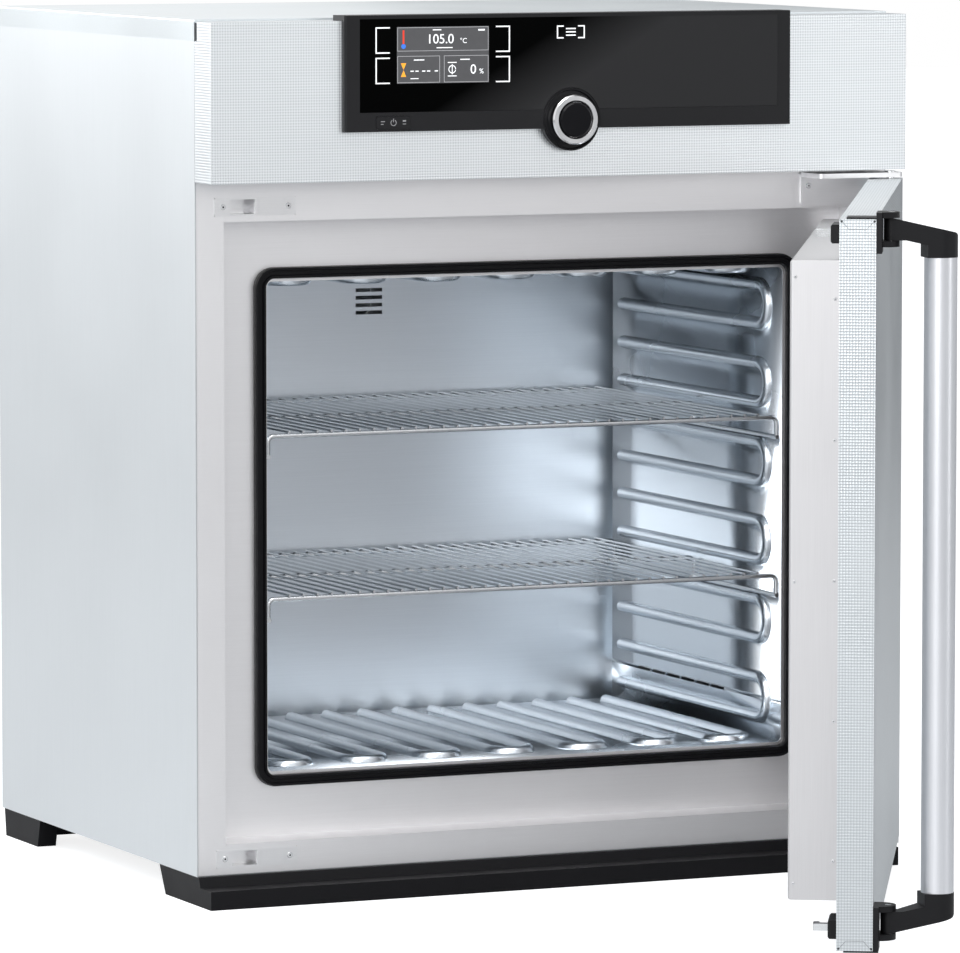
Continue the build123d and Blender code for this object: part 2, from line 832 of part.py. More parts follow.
key_middle = (cockpit_left + key_left, knob_z)
glass_seat = cockpit_front + glass_thickness
with BuildPart() as cockpit_bezel:
    block((cockpit_left, cockpit_right), (cockpit_front, door_front), (cockpit_bottom, cockpit_top))
    block(
        (cockpit_left, cockpit_right),
        (door_front, cockpit_front + cockpit_wrap),
        (fascia_top, cockpit_top),
    )
    outer_edges = cockpit_bezel.edges().filter_by(Axis.Z).group_by(Axis.Y)[0]
    chamfer(outer_edges, length=cockpit_edge, length2=cockpit_edge / 2)
    with BuildSketch(front_plane(cockpit_front)):
        with Locations(((glass_left + glass_right) / 2, (glass_bottom + glass_top) / 2)):
            Rectangle(glass_right - glass_left, glass_top - glass_bottom)
    extrude(amount=-glass_thickness, mode=Mode.SUBTRACT)
    block(
        (module_x[0] - glass_gap, module_x[1] + glass_gap),
        (cockpit_front, door_front),
        (module_z[0] - glass_gap, module_z[1] + glass_gap),
        mode=Mode.SUBTRACT,
    )
    with BuildSketch(front_plane(cockpit_front)):
        with Locations((cockpit_offset, knob_z)):
            Circle(surround_radius + glass_gap)
        with Locations(key_middle):
            RectangleRounded(key_width + 2 * seam_gap, key_height + 2 * seam_gap, key_corner)
    extrude(amount=-cockpit_proud, mode=Mode.SUBTRACT)
save(cockpit_bezel, "cockpit_bezel")

with BuildPart() as cockpit_glass:
    with BuildSketch(front_plane(glass_seat)):
        with Locations(((glass_left + glass_right) / 2, (glass_bottom + glass_top) / 2)):
            Rectangle(glass_right - glass_left - 2 * glass_gap, glass_top - glass_bottom - 2 * glass_gap)
        with Locations((cockpit_offset, knob_z)):
            Circle(surround_radius + 3 * glass_gap, mode=Mode.SUBTRACT)
    extrude(amount=glass_thickness)
save(cockpit_glass, "cockpit_glass")

module_back = glass_seat + display_depth
with BuildPart() as display_module:
    block(module_x, (glass_seat, module_back), module_z)
save(display_module, "display_module")

with BuildPart() as control_board:
    block(
        (module_x[0] - board_margin, module_x[1] + board_reach),
        (module_back, module_back + board_thickness),
        (module_z[0] + 1, module_z[1] - 1),
    )
    block(
        (module_x[1] + board_margin, module_x[1] + board_reach - board_margin),
        (module_back + board_thickness, module_back + 4 * board_thickness),
        (module_z[0] + board_margin, module_z[1] - board_margin),
    )
save(control_board, "control_board")

knob_axis = (cockpit_offset, knob_z)
surround_front = cockpit_front + seam_gap
with BuildPart() as knob_surround:
    with BuildSketch(front_plane(door_front)):
        with Locations(knob_axis):
            Circle(surround_radius)
    extrude(amount=door_front - surround_front)
    with BuildSketch(front_plane(surround_front)):
        with Locations(knob_axis):
            Circle(surround_radius - surround_rim)
    extrude(amount=-surround_dish, taper=dish_taper, mode=Mode.SUBTRACT)
    with BuildSketch(front_plane(door_front)):
        with Locations(knob_axis):
            Circle(sleeve_hole)
    extrude(amount=door_front - surround_front, mode=Mode.SUBTRACT)
save(knob_surround, "knob_surround")

ring_back = surround_front + surround_dish - ring_gap
ring_front = ring_back - ring_depth
web_front = ring_back - web_thickness
ring_bore = cap_radius + button_gap
with BuildPart() as knob_ring:
    with BuildSketch(Plane.XY.offset(knob_z)):
        with Locations((cockpit_offset, 0)):
            Polygon(
                (sleeve_radius + running_gap, ring_back),
                (ring_radius, ring_back),
                (ring_radius - ring_taper, ring_front + rim_chamfer),
                (ring_radius - rim_chamfer, ring_front),
                (ring_bore + rim_chamfer, ring_front),
                (ring_bore, ring_front + rim_chamfer),
                (ring_bore, web_front),
                (sleeve_radius + running_gap, web_front),
                align=None,
            )
    revolve(axis=Axis((cockpit_offset, 0, knob_z), (0, 1, 0)))
save(knob_ring, "knob_ring")

button_front = ring_front - button_proud
button_back = button_front + button_thickness
stem_end = door_front + sheet + encoder_depth - stem_floor - 2 * button_travel
with BuildPart() as knob_button:
    with BuildSketch(front_plane(button_back)):
        with Locations(knob_axis):
            Circle(cap_radius)
    extrude(amount=button_thickness)
    chamfer(knob_button.edges().filter_by(GeomType.CIRCLE).group_by(Axis.Y)[0], length=rim_chamfer)
    with BuildSketch(front_plane(button_back)):
        with Locations(knob_axis):
            Circle(stem_radius)
    extrude(amount=button_back - stem_end)
save(knob_button, "knob_button")

sleeve_end = web_front - sleeve_proud
with BuildPart() as encoder:
    inner_face = door_front + sheet
    block(
        (cockpit_offset - encoder_size / 2, cockpit_offset + encoder_size / 2),
        (inner_face, inner_face + encoder_depth),
        (knob_z - encoder_size / 2, knob_z + encoder_size / 2),
    )
    with BuildSketch(front_plane(inner_face)):
        with Locations(knob_axis):
            Circle(sleeve_radius)
    extrude(amount=inner_face - sleeve_end)
    with BuildSketch(front_plane(sleeve_end)):
        with Locations(knob_axis):
            Circle(stem_radius + running_gap)
    extrude(amount=sleeve_end - inner_face - encoder_depth + stem_floor, mode=Mode.SUBTRACT)
save(encoder, "encoder")

key_front = cockpit_front - key_proud
key_back = door_front - key_travel - 2 * seam_gap
with BuildPart() as power_key:
    with BuildSketch(front_plane(key_back)):
        with Locations(key_middle):
            RectangleRounded(key_width, key_height, key_corner)
    extrude(amount=key_back - key_front)
save(power_key, "power_key")

# Hinges: angled brackets on the frame, pins, and bushings in the door
bracket_x = (bracket_left, half_width - bracket_inset)
bracket_front = door_front + sheet
top_plate = (door_top + bracket_gap, door_top + bracket_gap + bracket_thickness)
top_leg = (recess_top + leg_inset, top_plate[1])
bottom_plate = (base_height - bracket_thickness, base_height - seam_gap)
bottom_leg = (bottom_plate[0], recess_floor - leg_inset)
for place, plate, leg in (("top", top_plate, top_leg), ("bottom", bottom_plate, bottom_leg)):
    with BuildPart() as hinge_bracket:
        block(bracket_x, (-bracket_leg, 0), leg)
        fillet(hinge_bracket.edges().filter_by(Axis.Y).group_by(Axis.X)[0], radius=leg_corner)
        block(bracket_x, (bracket_front, -bracket_leg), plate)
        fillet(hinge_bracket.edges().filter_by(Axis.Z).group_by(Axis.Y)[0], radius=bracket_corner)
        with BuildSketch(Plane.XY.offset(plate[0])):
            with Locations((hinge_x, hinge_y)):
                Circle(pin_radius + press_gap)
        extrude(amount=plate[1] - plate[0], mode=Mode.SUBTRACT)
    save(hinge_bracket, f"hinge_bracket_{place}")

top_pin_z = (door_top - pin_reach, top_plate[1])
bottom_pin_z = (bottom_plate[0], door_bottom + pin_reach)
with BuildPart() as hinge_pins:
    for low, high, head in ((*top_pin_z, top_pin_z[1]), (*bottom_pin_z, bottom_pin_z[0] - pin_head)):
        with BuildSketch(Plane.XY.offset(low)):
            with Locations((hinge_x, hinge_y)):
                Circle(pin_radius)
        extrude(amount=high - low)
        with BuildSketch(Plane.XY.offset(head)):
            with Locations((hinge_x, hinge_y)):
                Circle(pin_radius + pin_flange)
        extrude(amount=pin_head)
save(hinge_pins, "hinge_pins")

bushing_radius = pin_radius + bushing_wall
bushing_length = pin_reach + sheet
bushing_levels = (door_bottom, door_top - bushing_length)
with BuildPart() as hinge_bushings:
    for level in bushing_levels:
        with BuildSketch(Plane.XY.offset(level)):
            with Locations((hinge_x, hinge_y)):
                Circle(bushing_radius)
                Circle(pin_radius + running_gap, mode=Mode.SUBTRACT)
        extrude(amount=bushing_length)
save(hinge_bushings, "hinge_bushings", door_pose)

# Door: outer pan, inner pan with the deep plug, and the filling between them
door_inner = -door_gap
skin_half = half_width - sheet
with BuildPart() as door_skin:
    block((-half_width, half_width), (door_front, door_inner), (door_bottom, door_top))
    block(
        (-skin_half, skin_half),
        (door_front + sheet, door_inner),
        (door_bottom + sheet, door_top - sheet),
        mode=Mode.SUBTRACT,
    )
    with BuildSketch(Plane.XY.offset(door_bottom)):
        with Locations((hinge_x, hinge_y)):
            Circle(bushing_radius + press_gap)
    extrude(amount=sheet, mode=Mode.SUBTRACT)
    with BuildSketch(Plane.XY.offset(door_top)):
        with Locations((hinge_x, hinge_y)):
            Circle(bushing_radius + press_gap)
    extrude(amount=-sheet, mode=Mode.SUBTRACT)
save(door_skin, "door_skin", door_pose)

slide_left = hook_left - slide_rear
slide_right = hook_right + slide_nose
run = (slide_left - run_gap, slide_right + hook_travel + run_gap)
case_x = (run[0] - case_wall, run[1] + case_wall)
case_half = pocket_height / 2
inner_half = skin_half - seam_gap
plug_half = recess_half - plug_gap
plug_z = (recess_floor + plug_gap + door_bottom_gap, recess_top - plug_gap)
plug_inner = door_inner + plug_depth
with BuildPart() as door_plug:
    block(
        (-inner_half, inner_half),
        (door_inner - sheet, door_inner),
        (door_bottom + sheet + seam_gap, door_top - sheet - seam_gap),
    )
    block((-plug_half, plug_half), (door_inner, plug_inner), plug_z)
    fillet(door_plug.faces().sort_by(Axis.Y)[-1].edges(), radius=plug_corner)
    block(
        (-plug_half + sheet, plug_half - sheet),
        (door_inner - sheet, plug_inner - sheet),
        (plug_z[0] + sheet, plug_z[1] - sheet),
        mode=Mode.SUBTRACT,
    )
    for latch_z in strike_heights.values():
        block(
            (case_x[0] - slide_gap, case_x[1] + slide_gap),
            (door_inner - sheet, door_inner),
            (latch_z - case_half - slide_gap, latch_z + case_half + slide_gap),
            mode=Mode.SUBTRACT,
        )
save(door_plug, "door_plug", door_pose)

with BuildPart() as door_insulation:
    block(
        (-skin_half + fill_gap, skin_half - fill_gap),
        (door_front + sheet + fill_gap, door_inner - sheet - fill_gap),
        (door_bottom + sheet + fill_gap, door_top - sheet - fill_gap),
    )
    block(
        (-plug_half + sheet + fill_gap, plug_half - sheet - fill_gap),
        (door_inner - 2 * sheet, plug_inner - sheet - fill_gap),
        (plug_z[0] + sheet + fill_gap, plug_z[1] - sheet - fill_gap),
    )
    for latch_z in strike_heights.values():
        block(
            (case_x[0] - sheet, case_x[1] + sheet),
            (door_inner - case_depth - sheet, door_inner),
            (latch_z - case_half - sheet, latch_z + case_half + sheet),
            mode=Mode.SUBTRACT,
        )
    for level in (door_bottom, door_top - bushing_length - sheet):
        block(
            (hinge_x - bushing_radius - sheet, half_width),
            (hinge_y - bushing_radius - sheet, hinge_y + bushing_radius + sheet),
            (level, level + bushing_length + sheet),
            mode=Mode.SUBTRACT,
        )
save(door_insulation, "door_insulation", door_pose)

# Latches: a moulded case in the door's edge and a sliding hook, above and below the plug
slide_back = door_inner - case_depth + case_wall
slide_front = slide_back + slide_depth
hook_half = hook_thickness / 2
hook_tip = door_inner + hook_reach
for place, latch_z in strike_heights.items():
    slot_z = (latch_z - hook_half - slide_gap, latch_z + hook_half + slide_gap)
    with BuildPart() as latch_case:
        block(case_x, (door_inner - case_depth, door_inner), (latch_z - case_half, latch_z + case_half))
        block(
            (case_x[0] - case_lip, case_x[1] + case_lip),
            (door_inner, door_inner + case_proud),
            (latch_z - case_half - case_lip, latch_z + case_half + case_lip),
        )
        chamfer(latch_case.faces().sort_by(Axis.Y)[-1].edges(), length=case_lip)
        block(
            run,
            (slide_back - slide_gap, slide_front + slide_gap),
            slot_z,
            mode=Mode.SUBTRACT,
        )
        block(
            (hook_left - 2 * slide_gap, hook_right + hook_travel + 2 * slide_gap),
            (slide_front, door_inner + case_proud),
            slot_z,
            mode=Mode.SUBTRACT,
        )
    save(latch_case, f"latch_case_{place}", door_pose)

    hook_z = (latch_z - hook_half, latch_z + hook_half)
    with BuildPart() as latch_hook:
        block((slide_left, slide_right), (slide_back, slide_front), hook_z)
        block((hook_left, hook_right), (slide_front, hook_tip), hook_z)
        block((hook_right, hook_right + barb_width), (hook_tip - barb_length, hook_tip), hook_z)
        fillet(latch_hook.edges().filter_by(Axis.Z).group_by(Axis.Y)[-1], radius=hook_corner)
    save(latch_hook, f"latch_hook_{place}", door_pose)

# Handle: corner brackets, pivot pins, cranked arms and the tube
hub_levels = {"top": door_top - hub_drop, "bottom": door_bottom + hub_rise}
handle_z = sum(hub_levels.values()) / 2
plate_face = door_front - handle_plate
cap_back = door_front + cap_depth
lobe_height = (hub_height - knuckle_height) / 2
bracket_side = pivot_x + hub_radius
for place, hub_z in hub_levels.items():
    upper = place == "top"
    edge = door_top if upper else door_bottom
    outward = 1 if upper else -1
    cap_z = sorted((edge, edge + outward * cap_thickness))
    plate_low = min(edge - outward * cap_height, hub_z - hub_height / 2, cap_z[0])
    plate_high = max(edge - outward * cap_height, hub_z + hub_height / 2, cap_z[1])
    with BuildPart() as handle_bracket:
        block((-half_width, bracket_side), (plate_face, door_front), (plate_low, plate_high))
        block((-half_width, -half_width + cap_length), (door_front, cap_back), cap_z)
        for lobe_z in (hub_z - hub_height / 2, hub_z + hub_height / 2 - lobe_height + knuckle_gap):
            with BuildSketch(Plane.XY.offset(lobe_z)):
                with Locations((pivot_x, plate_face)):
                    Circle(hub_radius)
                    with Locations((0, hub_radius)):
                        Rectangle(2 * hub_radius, 2 * hub_radius, mode=Mode.SUBTRACT)
                with Locations((pivot_x, pivot_y)):
                    Circle(handle_pin_radius + press_gap, mode=Mode.SUBTRACT)
            extrude(amount=lobe_height - knuckle_gap)
    save(handle_bracket, f"handle_bracket_{place}", door_pose)

with BuildPart() as handle_pins:
    for hub_z in hub_levels.values():
        with BuildSketch(Plane.XY.offset(hub_z - hub_height / 2)):
            with Locations((pivot_x, pivot_y)):
                Circle(handle_pin_radius)
        extrude(amount=hub_height)
save(handle_pins, "handle_pins", door_pose)

tube_y = pivot_y - handle_swing
tube_half = hub_levels["top"] - elbow_height - handle_z
sleeve_outer = tube_radius + sleeve_cover
sleeve_near = tube_y + sleeve_outer
sleeve_far = tube_y - sleeve_outer
root = knuckle_height / 2
slope = arm_drop / handle_swing
slope_start = pivot_y - 0.75 * hub_radius
for place, hub_z in hub_levels.items():
    up = 1 if place == "top" else -1
    crown_z = hub_z + up * (root - slope * (pivot_y - sleeve_far))
    crook_z = hub_z - up * (root + slope * (slope_start - sleeve_near))
    foot_z = hub_z - up * elbow_height
    with BuildPart() as handle_arm:
        with BuildSketch(Plane.YZ) as side_view:
            Polygon(
                (pivot_y + knuckle_radius, hub_z + up * root),
                (pivot_y, hub_z + up * root),
                (sleeve_far, crown_z),
                (sleeve_far, foot_z),
                (sleeve_near, foot_z),
                (sleeve_near, crook_z),
                (slope_start, hub_z - up * root),
                (pivot_y + knuckle_radius, hub_z - up * root),
                align=None,
            )
            far_corners = side_view.vertices().sort_by(Axis.X)[:2].sort_by(Axis.Y)
            near_corners = side_view.vertices().sort_by(Axis.X)[2:4].sort_by(Axis.Y)
            fillet(far_corners[-1] if up > 0 else far_corners[0], radius=crown_radius)
            fillet(near_corners[-1] if up > 0 else near_corners[0], radius=crook_radius)
        extrude(amount=2 * half_width, both=True)
        with BuildSketch(Plane.XY.offset(min(crown_z, foot_z) - hub_height)):
            with Locations((pivot_x, pivot_y)):
                Circle(knuckle_radius)
            with Locations((pivot_x, tube_y)):
                Circle(sleeve_outer)
            make_hull()
        extrude(amount=4 * hub_height, mode=Mode.INTERSECT)
        with BuildSketch(Plane.XY.offset(hub_z - root)):
            with Locations((pivot_x, pivot_y)):
                Circle(handle_pin_radius + running_gap)
        extrude(amount=knuckle_height, mode=Mode.SUBTRACT)
    save(handle_arm, f"handle_arm_{place}", handle_pose)

with BuildPart() as handle_tube:
    with BuildSketch(Plane.XY.offset(handle_z - tube_half)):
        with Locations((pivot_x, tube_y)):
            Circle(tube_radius)
            Circle(tube_radius - tube_wall, mode=Mode.SUBTRACT)
    extrude(amount=2 * tube_half)
save(handle_tube, "handle_tube", handle_pose)

# Grids of welded wire. The rods bend down at the sides and rest on the rib legs.
rod_wall_distance = grid_wall_gap + rod_radius
flank_height = rib_width / 2 - rod_wall_distance * math.tan(flank)
rest_height = flank_height + (rod_radius + rest_gap) / math.cos(flank)
rod_x = chamber_half - rod_wall_distance
rod_front = recess_depth + grid_front_gap
rod_rear = chamber_back_y - grid_rear_gap
rod_middle = (rod_front + rod_rear) / 2
top_leg_z = chamber_top_z - side_rib_pitch / 4
wire_pitch = (chamber_width - 2 * wire_inset) / (wire_count - 1)
for name, leg_number in (("grid_upper", upper_grid_leg), ("grid_lower", lower_grid_leg)):
    leg_z = top_leg_z - (leg_number - 1) * side_rib_pitch / 2
    rod_low = leg_z + rest_height
    rod_top = rod_low + grid_drop
    with BuildPart() as grid:
        bend_x = rod_x - rod_bend
        for rod_y in (rod_front, rod_middle, rod_rear):
            with BuildLine():
                Polyline(
                    (0, rod_y, rod_top),
                    (bend_x, rod_y, rod_top),
                    (rod_x, rod_y, rod_top - rod_bend),
                    (rod_x, rod_y, rod_low),
                )
            with BuildSketch(Plane((0, rod_y, rod_top), (0, 1, 0), (1, 0, 0))):
                RegularPolygon(rod_radius, rod_sides)
            sweep(transition=Transition.RIGHT)
        with BuildSketch(front_plane(rod_rear + rod_radius)):
            with Locations((rod_x, rod_low)):
                RegularPolygon(rod_radius, rod_sides)
        extrude(amount=rod_rear - rod_front + 2 * rod_radius)
        mirror(about=Plane.YZ)
        with BuildSketch(front_plane(rod_rear + rod_radius)):
            with Locations((0, rod_top + rod_radius + wire_radius - weld_sink)):
                with GridLocations(wire_pitch, 1, wire_count, 1):
                    RegularPolygon(wire_radius, wire_sides)
        extrude(amount=rod_rear - rod_front + 2 * rod_radius)
    save(grid, name)
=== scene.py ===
import math

import bmesh
import bpy
from mathutils import Matrix, Vector


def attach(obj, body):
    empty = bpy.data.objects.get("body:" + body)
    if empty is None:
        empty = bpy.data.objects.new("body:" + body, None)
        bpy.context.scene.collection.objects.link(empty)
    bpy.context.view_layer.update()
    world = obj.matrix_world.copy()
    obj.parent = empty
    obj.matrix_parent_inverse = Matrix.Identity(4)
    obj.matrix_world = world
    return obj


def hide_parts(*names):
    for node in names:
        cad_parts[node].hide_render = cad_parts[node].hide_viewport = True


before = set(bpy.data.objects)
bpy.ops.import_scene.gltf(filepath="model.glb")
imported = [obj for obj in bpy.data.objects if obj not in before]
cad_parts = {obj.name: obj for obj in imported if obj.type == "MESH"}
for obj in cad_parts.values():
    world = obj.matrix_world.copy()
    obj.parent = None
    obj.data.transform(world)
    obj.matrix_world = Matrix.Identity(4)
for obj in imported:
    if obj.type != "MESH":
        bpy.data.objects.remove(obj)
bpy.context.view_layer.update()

# Camera, a long lens a little above the oven, turned to show its left side and its front.
camera_place = Vector((-2.93959, -6.39961, 1.05413))
camera_turn = math.radians(24.1331)
camera_drop = math.radians(5.278)
camera_data = bpy.data.cameras.new("camera")
camera_data.lens = 269.445
camera_data.sensor_width = 36.0
camera = bpy.data.objects.new("camera", camera_data)
camera.location = camera_place
camera.rotation_euler = (math.radians(90) - camera_drop, 0, -camera_turn)
bpy.context.scene.collection.objects.link(camera)
bpy.context.scene.camera = camera
bpy.context.scene.view_settings.view_transform = "Standard"

# Studio: a white room, a pale floor that keeps the shadow, broad soft lamps, and a dark cloth behind
# on the right that the door's outer face mirrors.
world = bpy.data.worlds.new("studio")
bpy.context.scene.world = world
world.use_nodes = True
room = world.node_tree
room_light = room.nodes["Background"]
room_light.inputs["Color"].default_value = (0.93, 0.96, 1.0, 1)
room_light.inputs["Strength"].default_value = 0.66
backdrop = room.nodes.new("ShaderNodeBackground")
backdrop.inputs["Color"].default_value = (1, 1, 1, 1)
backdrop.inputs["Strength"].default_value = 1.0
light_path = room.nodes.new("ShaderNodeLightPath")
seen = room.nodes.new("ShaderNodeMath")
seen.operation = "MAXIMUM"
seen_through = room.nodes.new("ShaderNodeMath")
seen_through.operation = "MAXIMUM"
choice = room.nodes.new("ShaderNodeMixShader")
room.links.new(light_path.outputs["Is Camera Ray"], seen.inputs[0])
room.links.new(light_path.outputs["Is Glossy Ray"], seen.inputs[1])
room.links.new(seen.outputs[0], seen_through.inputs[0])
room.links.new(light_path.outputs["Is Transmission Ray"], seen_through.inputs[1])
room.links.new(seen_through.outputs[0], choice.inputs[0])
room.links.new(room_light.outputs[0], choice.inputs[1])
room.links.new(backdrop.outputs[0], choice.inputs[2])
room.links.new(choice.outputs[0], room.nodes["World Output"].inputs["Surface"])


def add_lamp(name, place, target, width, height, power):
    """Rectangular lamp that looks at a point and isn't seen itself."""
    data = bpy.data.lights.new(name, "AREA")
    data.shape = "RECTANGLE"
    data.size = width
    data.size_y = height
    data.energy = power
    lamp = bpy.data.objects.new(name, data)
    lamp.location = place
    aim = Vector(target) - Vector(place)
    lamp.rotation_euler = aim.to_track_quat("-Z", "Y").to_euler()
    lamp.visible_camera = False
    bpy.context.scene.collection.objects.link(lamp)


add_lamp("overhead", (-0.6, -0.9, 3.2), (0, 0.1, 0.4), 2.6, 2.2, 60)
add_lamp("front_left", (-3.2, -3.6, 2.2), (0, 0, 0.45), 2.4, 2.4, 104)
add_lamp("side_left", (-2.2, 2.6, 1.9), (-0.37, 0.2, 0.6), 1.6, 1.6, 54)
add_lamp("right_strip", (2.8, -3.6, 1.0), (0.62, -0.6, 0.40), 0.5, 2.2, 9)

floor_mesh = bmesh.new()
bmesh.ops.create_grid(floor_mesh, x_segments=1, y_segments=1, size=20)
floor_data = bpy.data.meshes.new("floor")
floor_mesh.to_mesh(floor_data)
floor_mesh.free()
floor_object = bpy.data.objects.new("floor", floor_data)
bpy.context.scene.collection.objects.link(floor_object)
floor_material = bpy.data.materials.new("pale_floor")
floor_material.use_nodes = True
floor_nodes = floor_material.node_tree
floor_shader = floor_nodes.nodes["Principled BSDF"]
floor_shader.inputs["Base Color"].default_value = (0.50, 0.51, 0.52, 1)
floor_shader.inputs["Roughness"].default_value = 0.7
floor_path = floor_nodes.nodes.new("ShaderNodeLightPath")
floor_glow = floor_nodes.nodes.new("ShaderNodeMath")
floor_glow.operation = "MULTIPLY"
floor_glow.inputs[1].default_value = 0.80
floor_nodes.links.new(floor_path.outputs["Is Camera Ray"], floor_glow.inputs[0])
floor_shader.inputs["Emission Color"].default_value = (1, 1, 1, 1)
floor_nodes.links.new(floor_glow.outputs[0], floor_shader.inputs["Emission Strength"])
floor_data.materials.append(floor_material)

card_mesh = bmesh.new()
bmesh.ops.create_grid(card_mesh, x_segments=1, y_segments=1, size=1.6)
card_data = bpy.data.meshes.new("dark_card")
card_turn = Vector((-0.6, -0.8, 0)).to_track_quat("Z", "Y").to_matrix().to_4x4()
card_mesh.transform(Matrix.Translation((3.2, 3.9, 1.0)) @ card_turn)
card_mesh.to_mesh(card_data)
card_mesh.free()
card_object = bpy.data.objects.new("dark_card", card_data)
bpy.context.scene.collection.objects.link(card_object)
card_object.visible_camera = False
card_material = bpy.data.materials.new("dark_cloth")
card_material.use_nodes = True
card_shader = card_material.node_tree.nodes["Principled BSDF"]
card_shader.inputs["Base Color"].default_value = (0.12, 0.13, 0.14, 1)
card_shader.inputs["Roughness"].default_value = 1.0
card_data.materials.append(card_material)


# Outer sheets: side panels, lid, rear panel and bottom pan of folded stainless steel. The
# sheet is rolled with a fine vertical grain and is slightly uneven, as thin panels are.
def add_group(name, inputs, outputs):
    """New node group with its sockets, its input node and its output node."""
    tree = bpy.data.node_groups.new(name, "ShaderNodeTree")
    for label, kind, value in inputs:
        socket = tree.interface.new_socket(label, in_out="INPUT", socket_type=kind)
        socket.default_value = value
    for label in outputs:
        tree.interface.new_socket(label, in_out="OUTPUT", socket_type="NodeSocketFloat")
    return tree, tree.nodes.new("NodeGroupInput"), tree.nodes.new("NodeGroupOutput")


def add_math(tree, operation, first, second):
    """Math node fed by sockets or plain numbers; returns its output."""
    node = tree.nodes.new("ShaderNodeMath")
    node.operation = operation
    for number, value in enumerate((first, second)):
        if isinstance(value, (int, float)):
            node.inputs[number].default_value = value
        else:
            tree.links.new(value, node.inputs[number])
    return node.outputs[0]


def add_noise(tree, vector, scale, detail):
    """Noise texture on a vector; returns its grey output."""
    node = tree.nodes.new("ShaderNodeTexNoise")
    node.inputs["Scale"].default_value = scale
    node.inputs["Detail"].default_value = detail
    tree.links.new(vector, node.inputs["Vector"])
    return node.outputs[0]


def add_range(tree, value, low, high, new_low, new_high):
    """Map Range node; returns its output."""
    node = tree.nodes.new("ShaderNodeMapRange")
    tree.links.new(value, node.inputs["Value"])
    labels = ("From Min", "From Max", "To Min", "To Max")
    for label, number in zip(labels, (low, high, new_low, new_high)):
        node.inputs[label].default_value = number
    return node.outputs["Result"]


grain_group, grain_in, grain_out = add_group(
    "rolled_grain",
    [
        ("Vector", "NodeSocketVector", (0, 0, 0)),
        ("Stretch", "NodeSocketVector", (900, 900, 12)),
    ],
    ["Streak", "Cloud"],
)
stretched = grain_group.nodes.new("ShaderNodeVectorMath")
stretched.operation = "MULTIPLY"
grain_group.links.new(grain_in.outputs["Vector"], stretched.inputs[0])
grain_group.links.new(grain_in.outputs["Stretch"], stretched.inputs[1])
streaks = add_noise(grain_group, stretched.outputs[0], 1.0, 2.0)
clouds = add_noise(grain_group, grain_in.outputs["Vector"], 5.0, 3.0)
grain_group.links.new(streaks, grain_out.inputs["Streak"])
grain_group.links.new(clouds, grain_out.inputs["Cloud"])

linen_group, linen_in, linen_out = add_group(
    "embossed_linen",
    [("Vector", "NodeSocketVector", (0, 0, 0)), ("Pitch", "NodeSocketFloat", 0.003)],
    ["Height"],
)
split = linen_group.nodes.new("ShaderNodeSeparateXYZ")
linen_group.links.new(linen_in.outputs["Vector"], split.inputs[0])
turns_per_metre = add_math(linen_group, "DIVIDE", 2 * math.pi, linen_in.outputs["Pitch"])
waves = []
for axis in range(3):
    angle = add_math(linen_group, "MULTIPLY", split.outputs[axis], turns_per_metre)
    waves.append(add_math(linen_group, "COSINE", angle, 0.0))
wave_sum = add_math(linen_group, "ADD", add_math(linen_group, "ADD", waves[0], waves[1]), waves[2])
linen_group.links.new(add_range(linen_group, wave_sum, -2.0, 2.0, 0.0, 1.0), linen_out.inputs["Height"])


def start_material(name, turn=0.0):
    """New material; returns it, its tree, its shader and object coordinates turned about Z."""
    material = bpy.data.materials.new(name)
    material.use_nodes = True
    tree = material.node_tree
    place = tree.nodes.new("ShaderNodeTexCoord")
    mapping = tree.nodes.new("ShaderNodeMapping")
    mapping.inputs["Rotation"].default_value = (0, 0, turn)
    tree.links.new(place.outputs["Object"], mapping.inputs["Vector"])
    return material, tree, tree.nodes["Principled BSDF"], mapping.outputs["Vector"]


def set_group(tree, group, vector, **values):
    """Places a node group in a material and returns the node."""
    node = tree.nodes.new("ShaderNodeGroup")
    node.node_tree = group
    tree.links.new(vector, node.inputs["Vector"])
    for label, value in values.items():
        node.inputs[label].default_value = value
    return node


def blend_colours(tree, factor, first, second):
    """Mix node between two colours; returns its output."""
    node = tree.nodes.new("ShaderNodeMix")
    node.data_type = "RGBA"
    tree.links.new(factor, node.inputs[0])
    node.inputs[6].default_value = (*first, 1)
    node.inputs[7].default_value = (*second, 1)
    return node.outputs[2]


def add_bump(tree, shader, height, distance):
    """Bump node from a height in metres to the shader's normal."""
    node = tree.nodes.new("ShaderNodeBump")
    node.inputs["Distance"].default_value = distance
    node.inputs["Strength"].default_value = 1.0
    tree.links.new(height, node.inputs["Height"])
    tree.links.new(node.outputs["Normal"], shader.inputs["Normal"])


def steel_sheet(name, dark, light, smooth, rough, stretch, relief=0.00002, turn=0.0, linen=None):
    """Stainless sheet with rolled grain, cloudy gloss and, where given, an embossed linen whose hollows are
    painted darker as shade.
    """
    material, tree, shader, vector = start_material(name, turn)
    grain = set_group(tree, grain_group, vector, Stretch=stretch)
    grain_and_relief_shade = grain.outputs["Streak"]
    height = grain.outputs["Streak"]
    if linen:
        pitch, depth = linen
        weave = set_group(tree, linen_group, vector, Pitch=pitch)
        # With a linen, the colour follows the emboss height, so the hollows are darker: painted shade of the
        # relief, mixed with the grain.
        grain_and_relief_shade = add_math(tree, "ADD", add_math(tree, "MULTIPLY", weave.outputs["Height"], 0.8),
                        add_math(tree, "MULTIPLY", grain.outputs["Streak"], 0.2))
        height = weave.outputs["Height"]
        relief = depth
    tree.links.new(blend_colours(tree, grain_and_relief_shade, dark, light), shader.inputs["Base Color"])
    gloss = add_range(tree, grain.outputs["Cloud"], 0.3, 0.7, smooth, rough)
    tree.links.new(gloss, shader.inputs["Roughness"])
    shader.inputs["Metallic"].default_value = 1.0
    add_bump(tree, shader, height, relief)
    return material


def dress(material, *names):
    """Gives CAD nodes a material in all their slots."""
    for name in names:
        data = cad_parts[name].data
        data.materials.clear()
        data.materials.append(material)


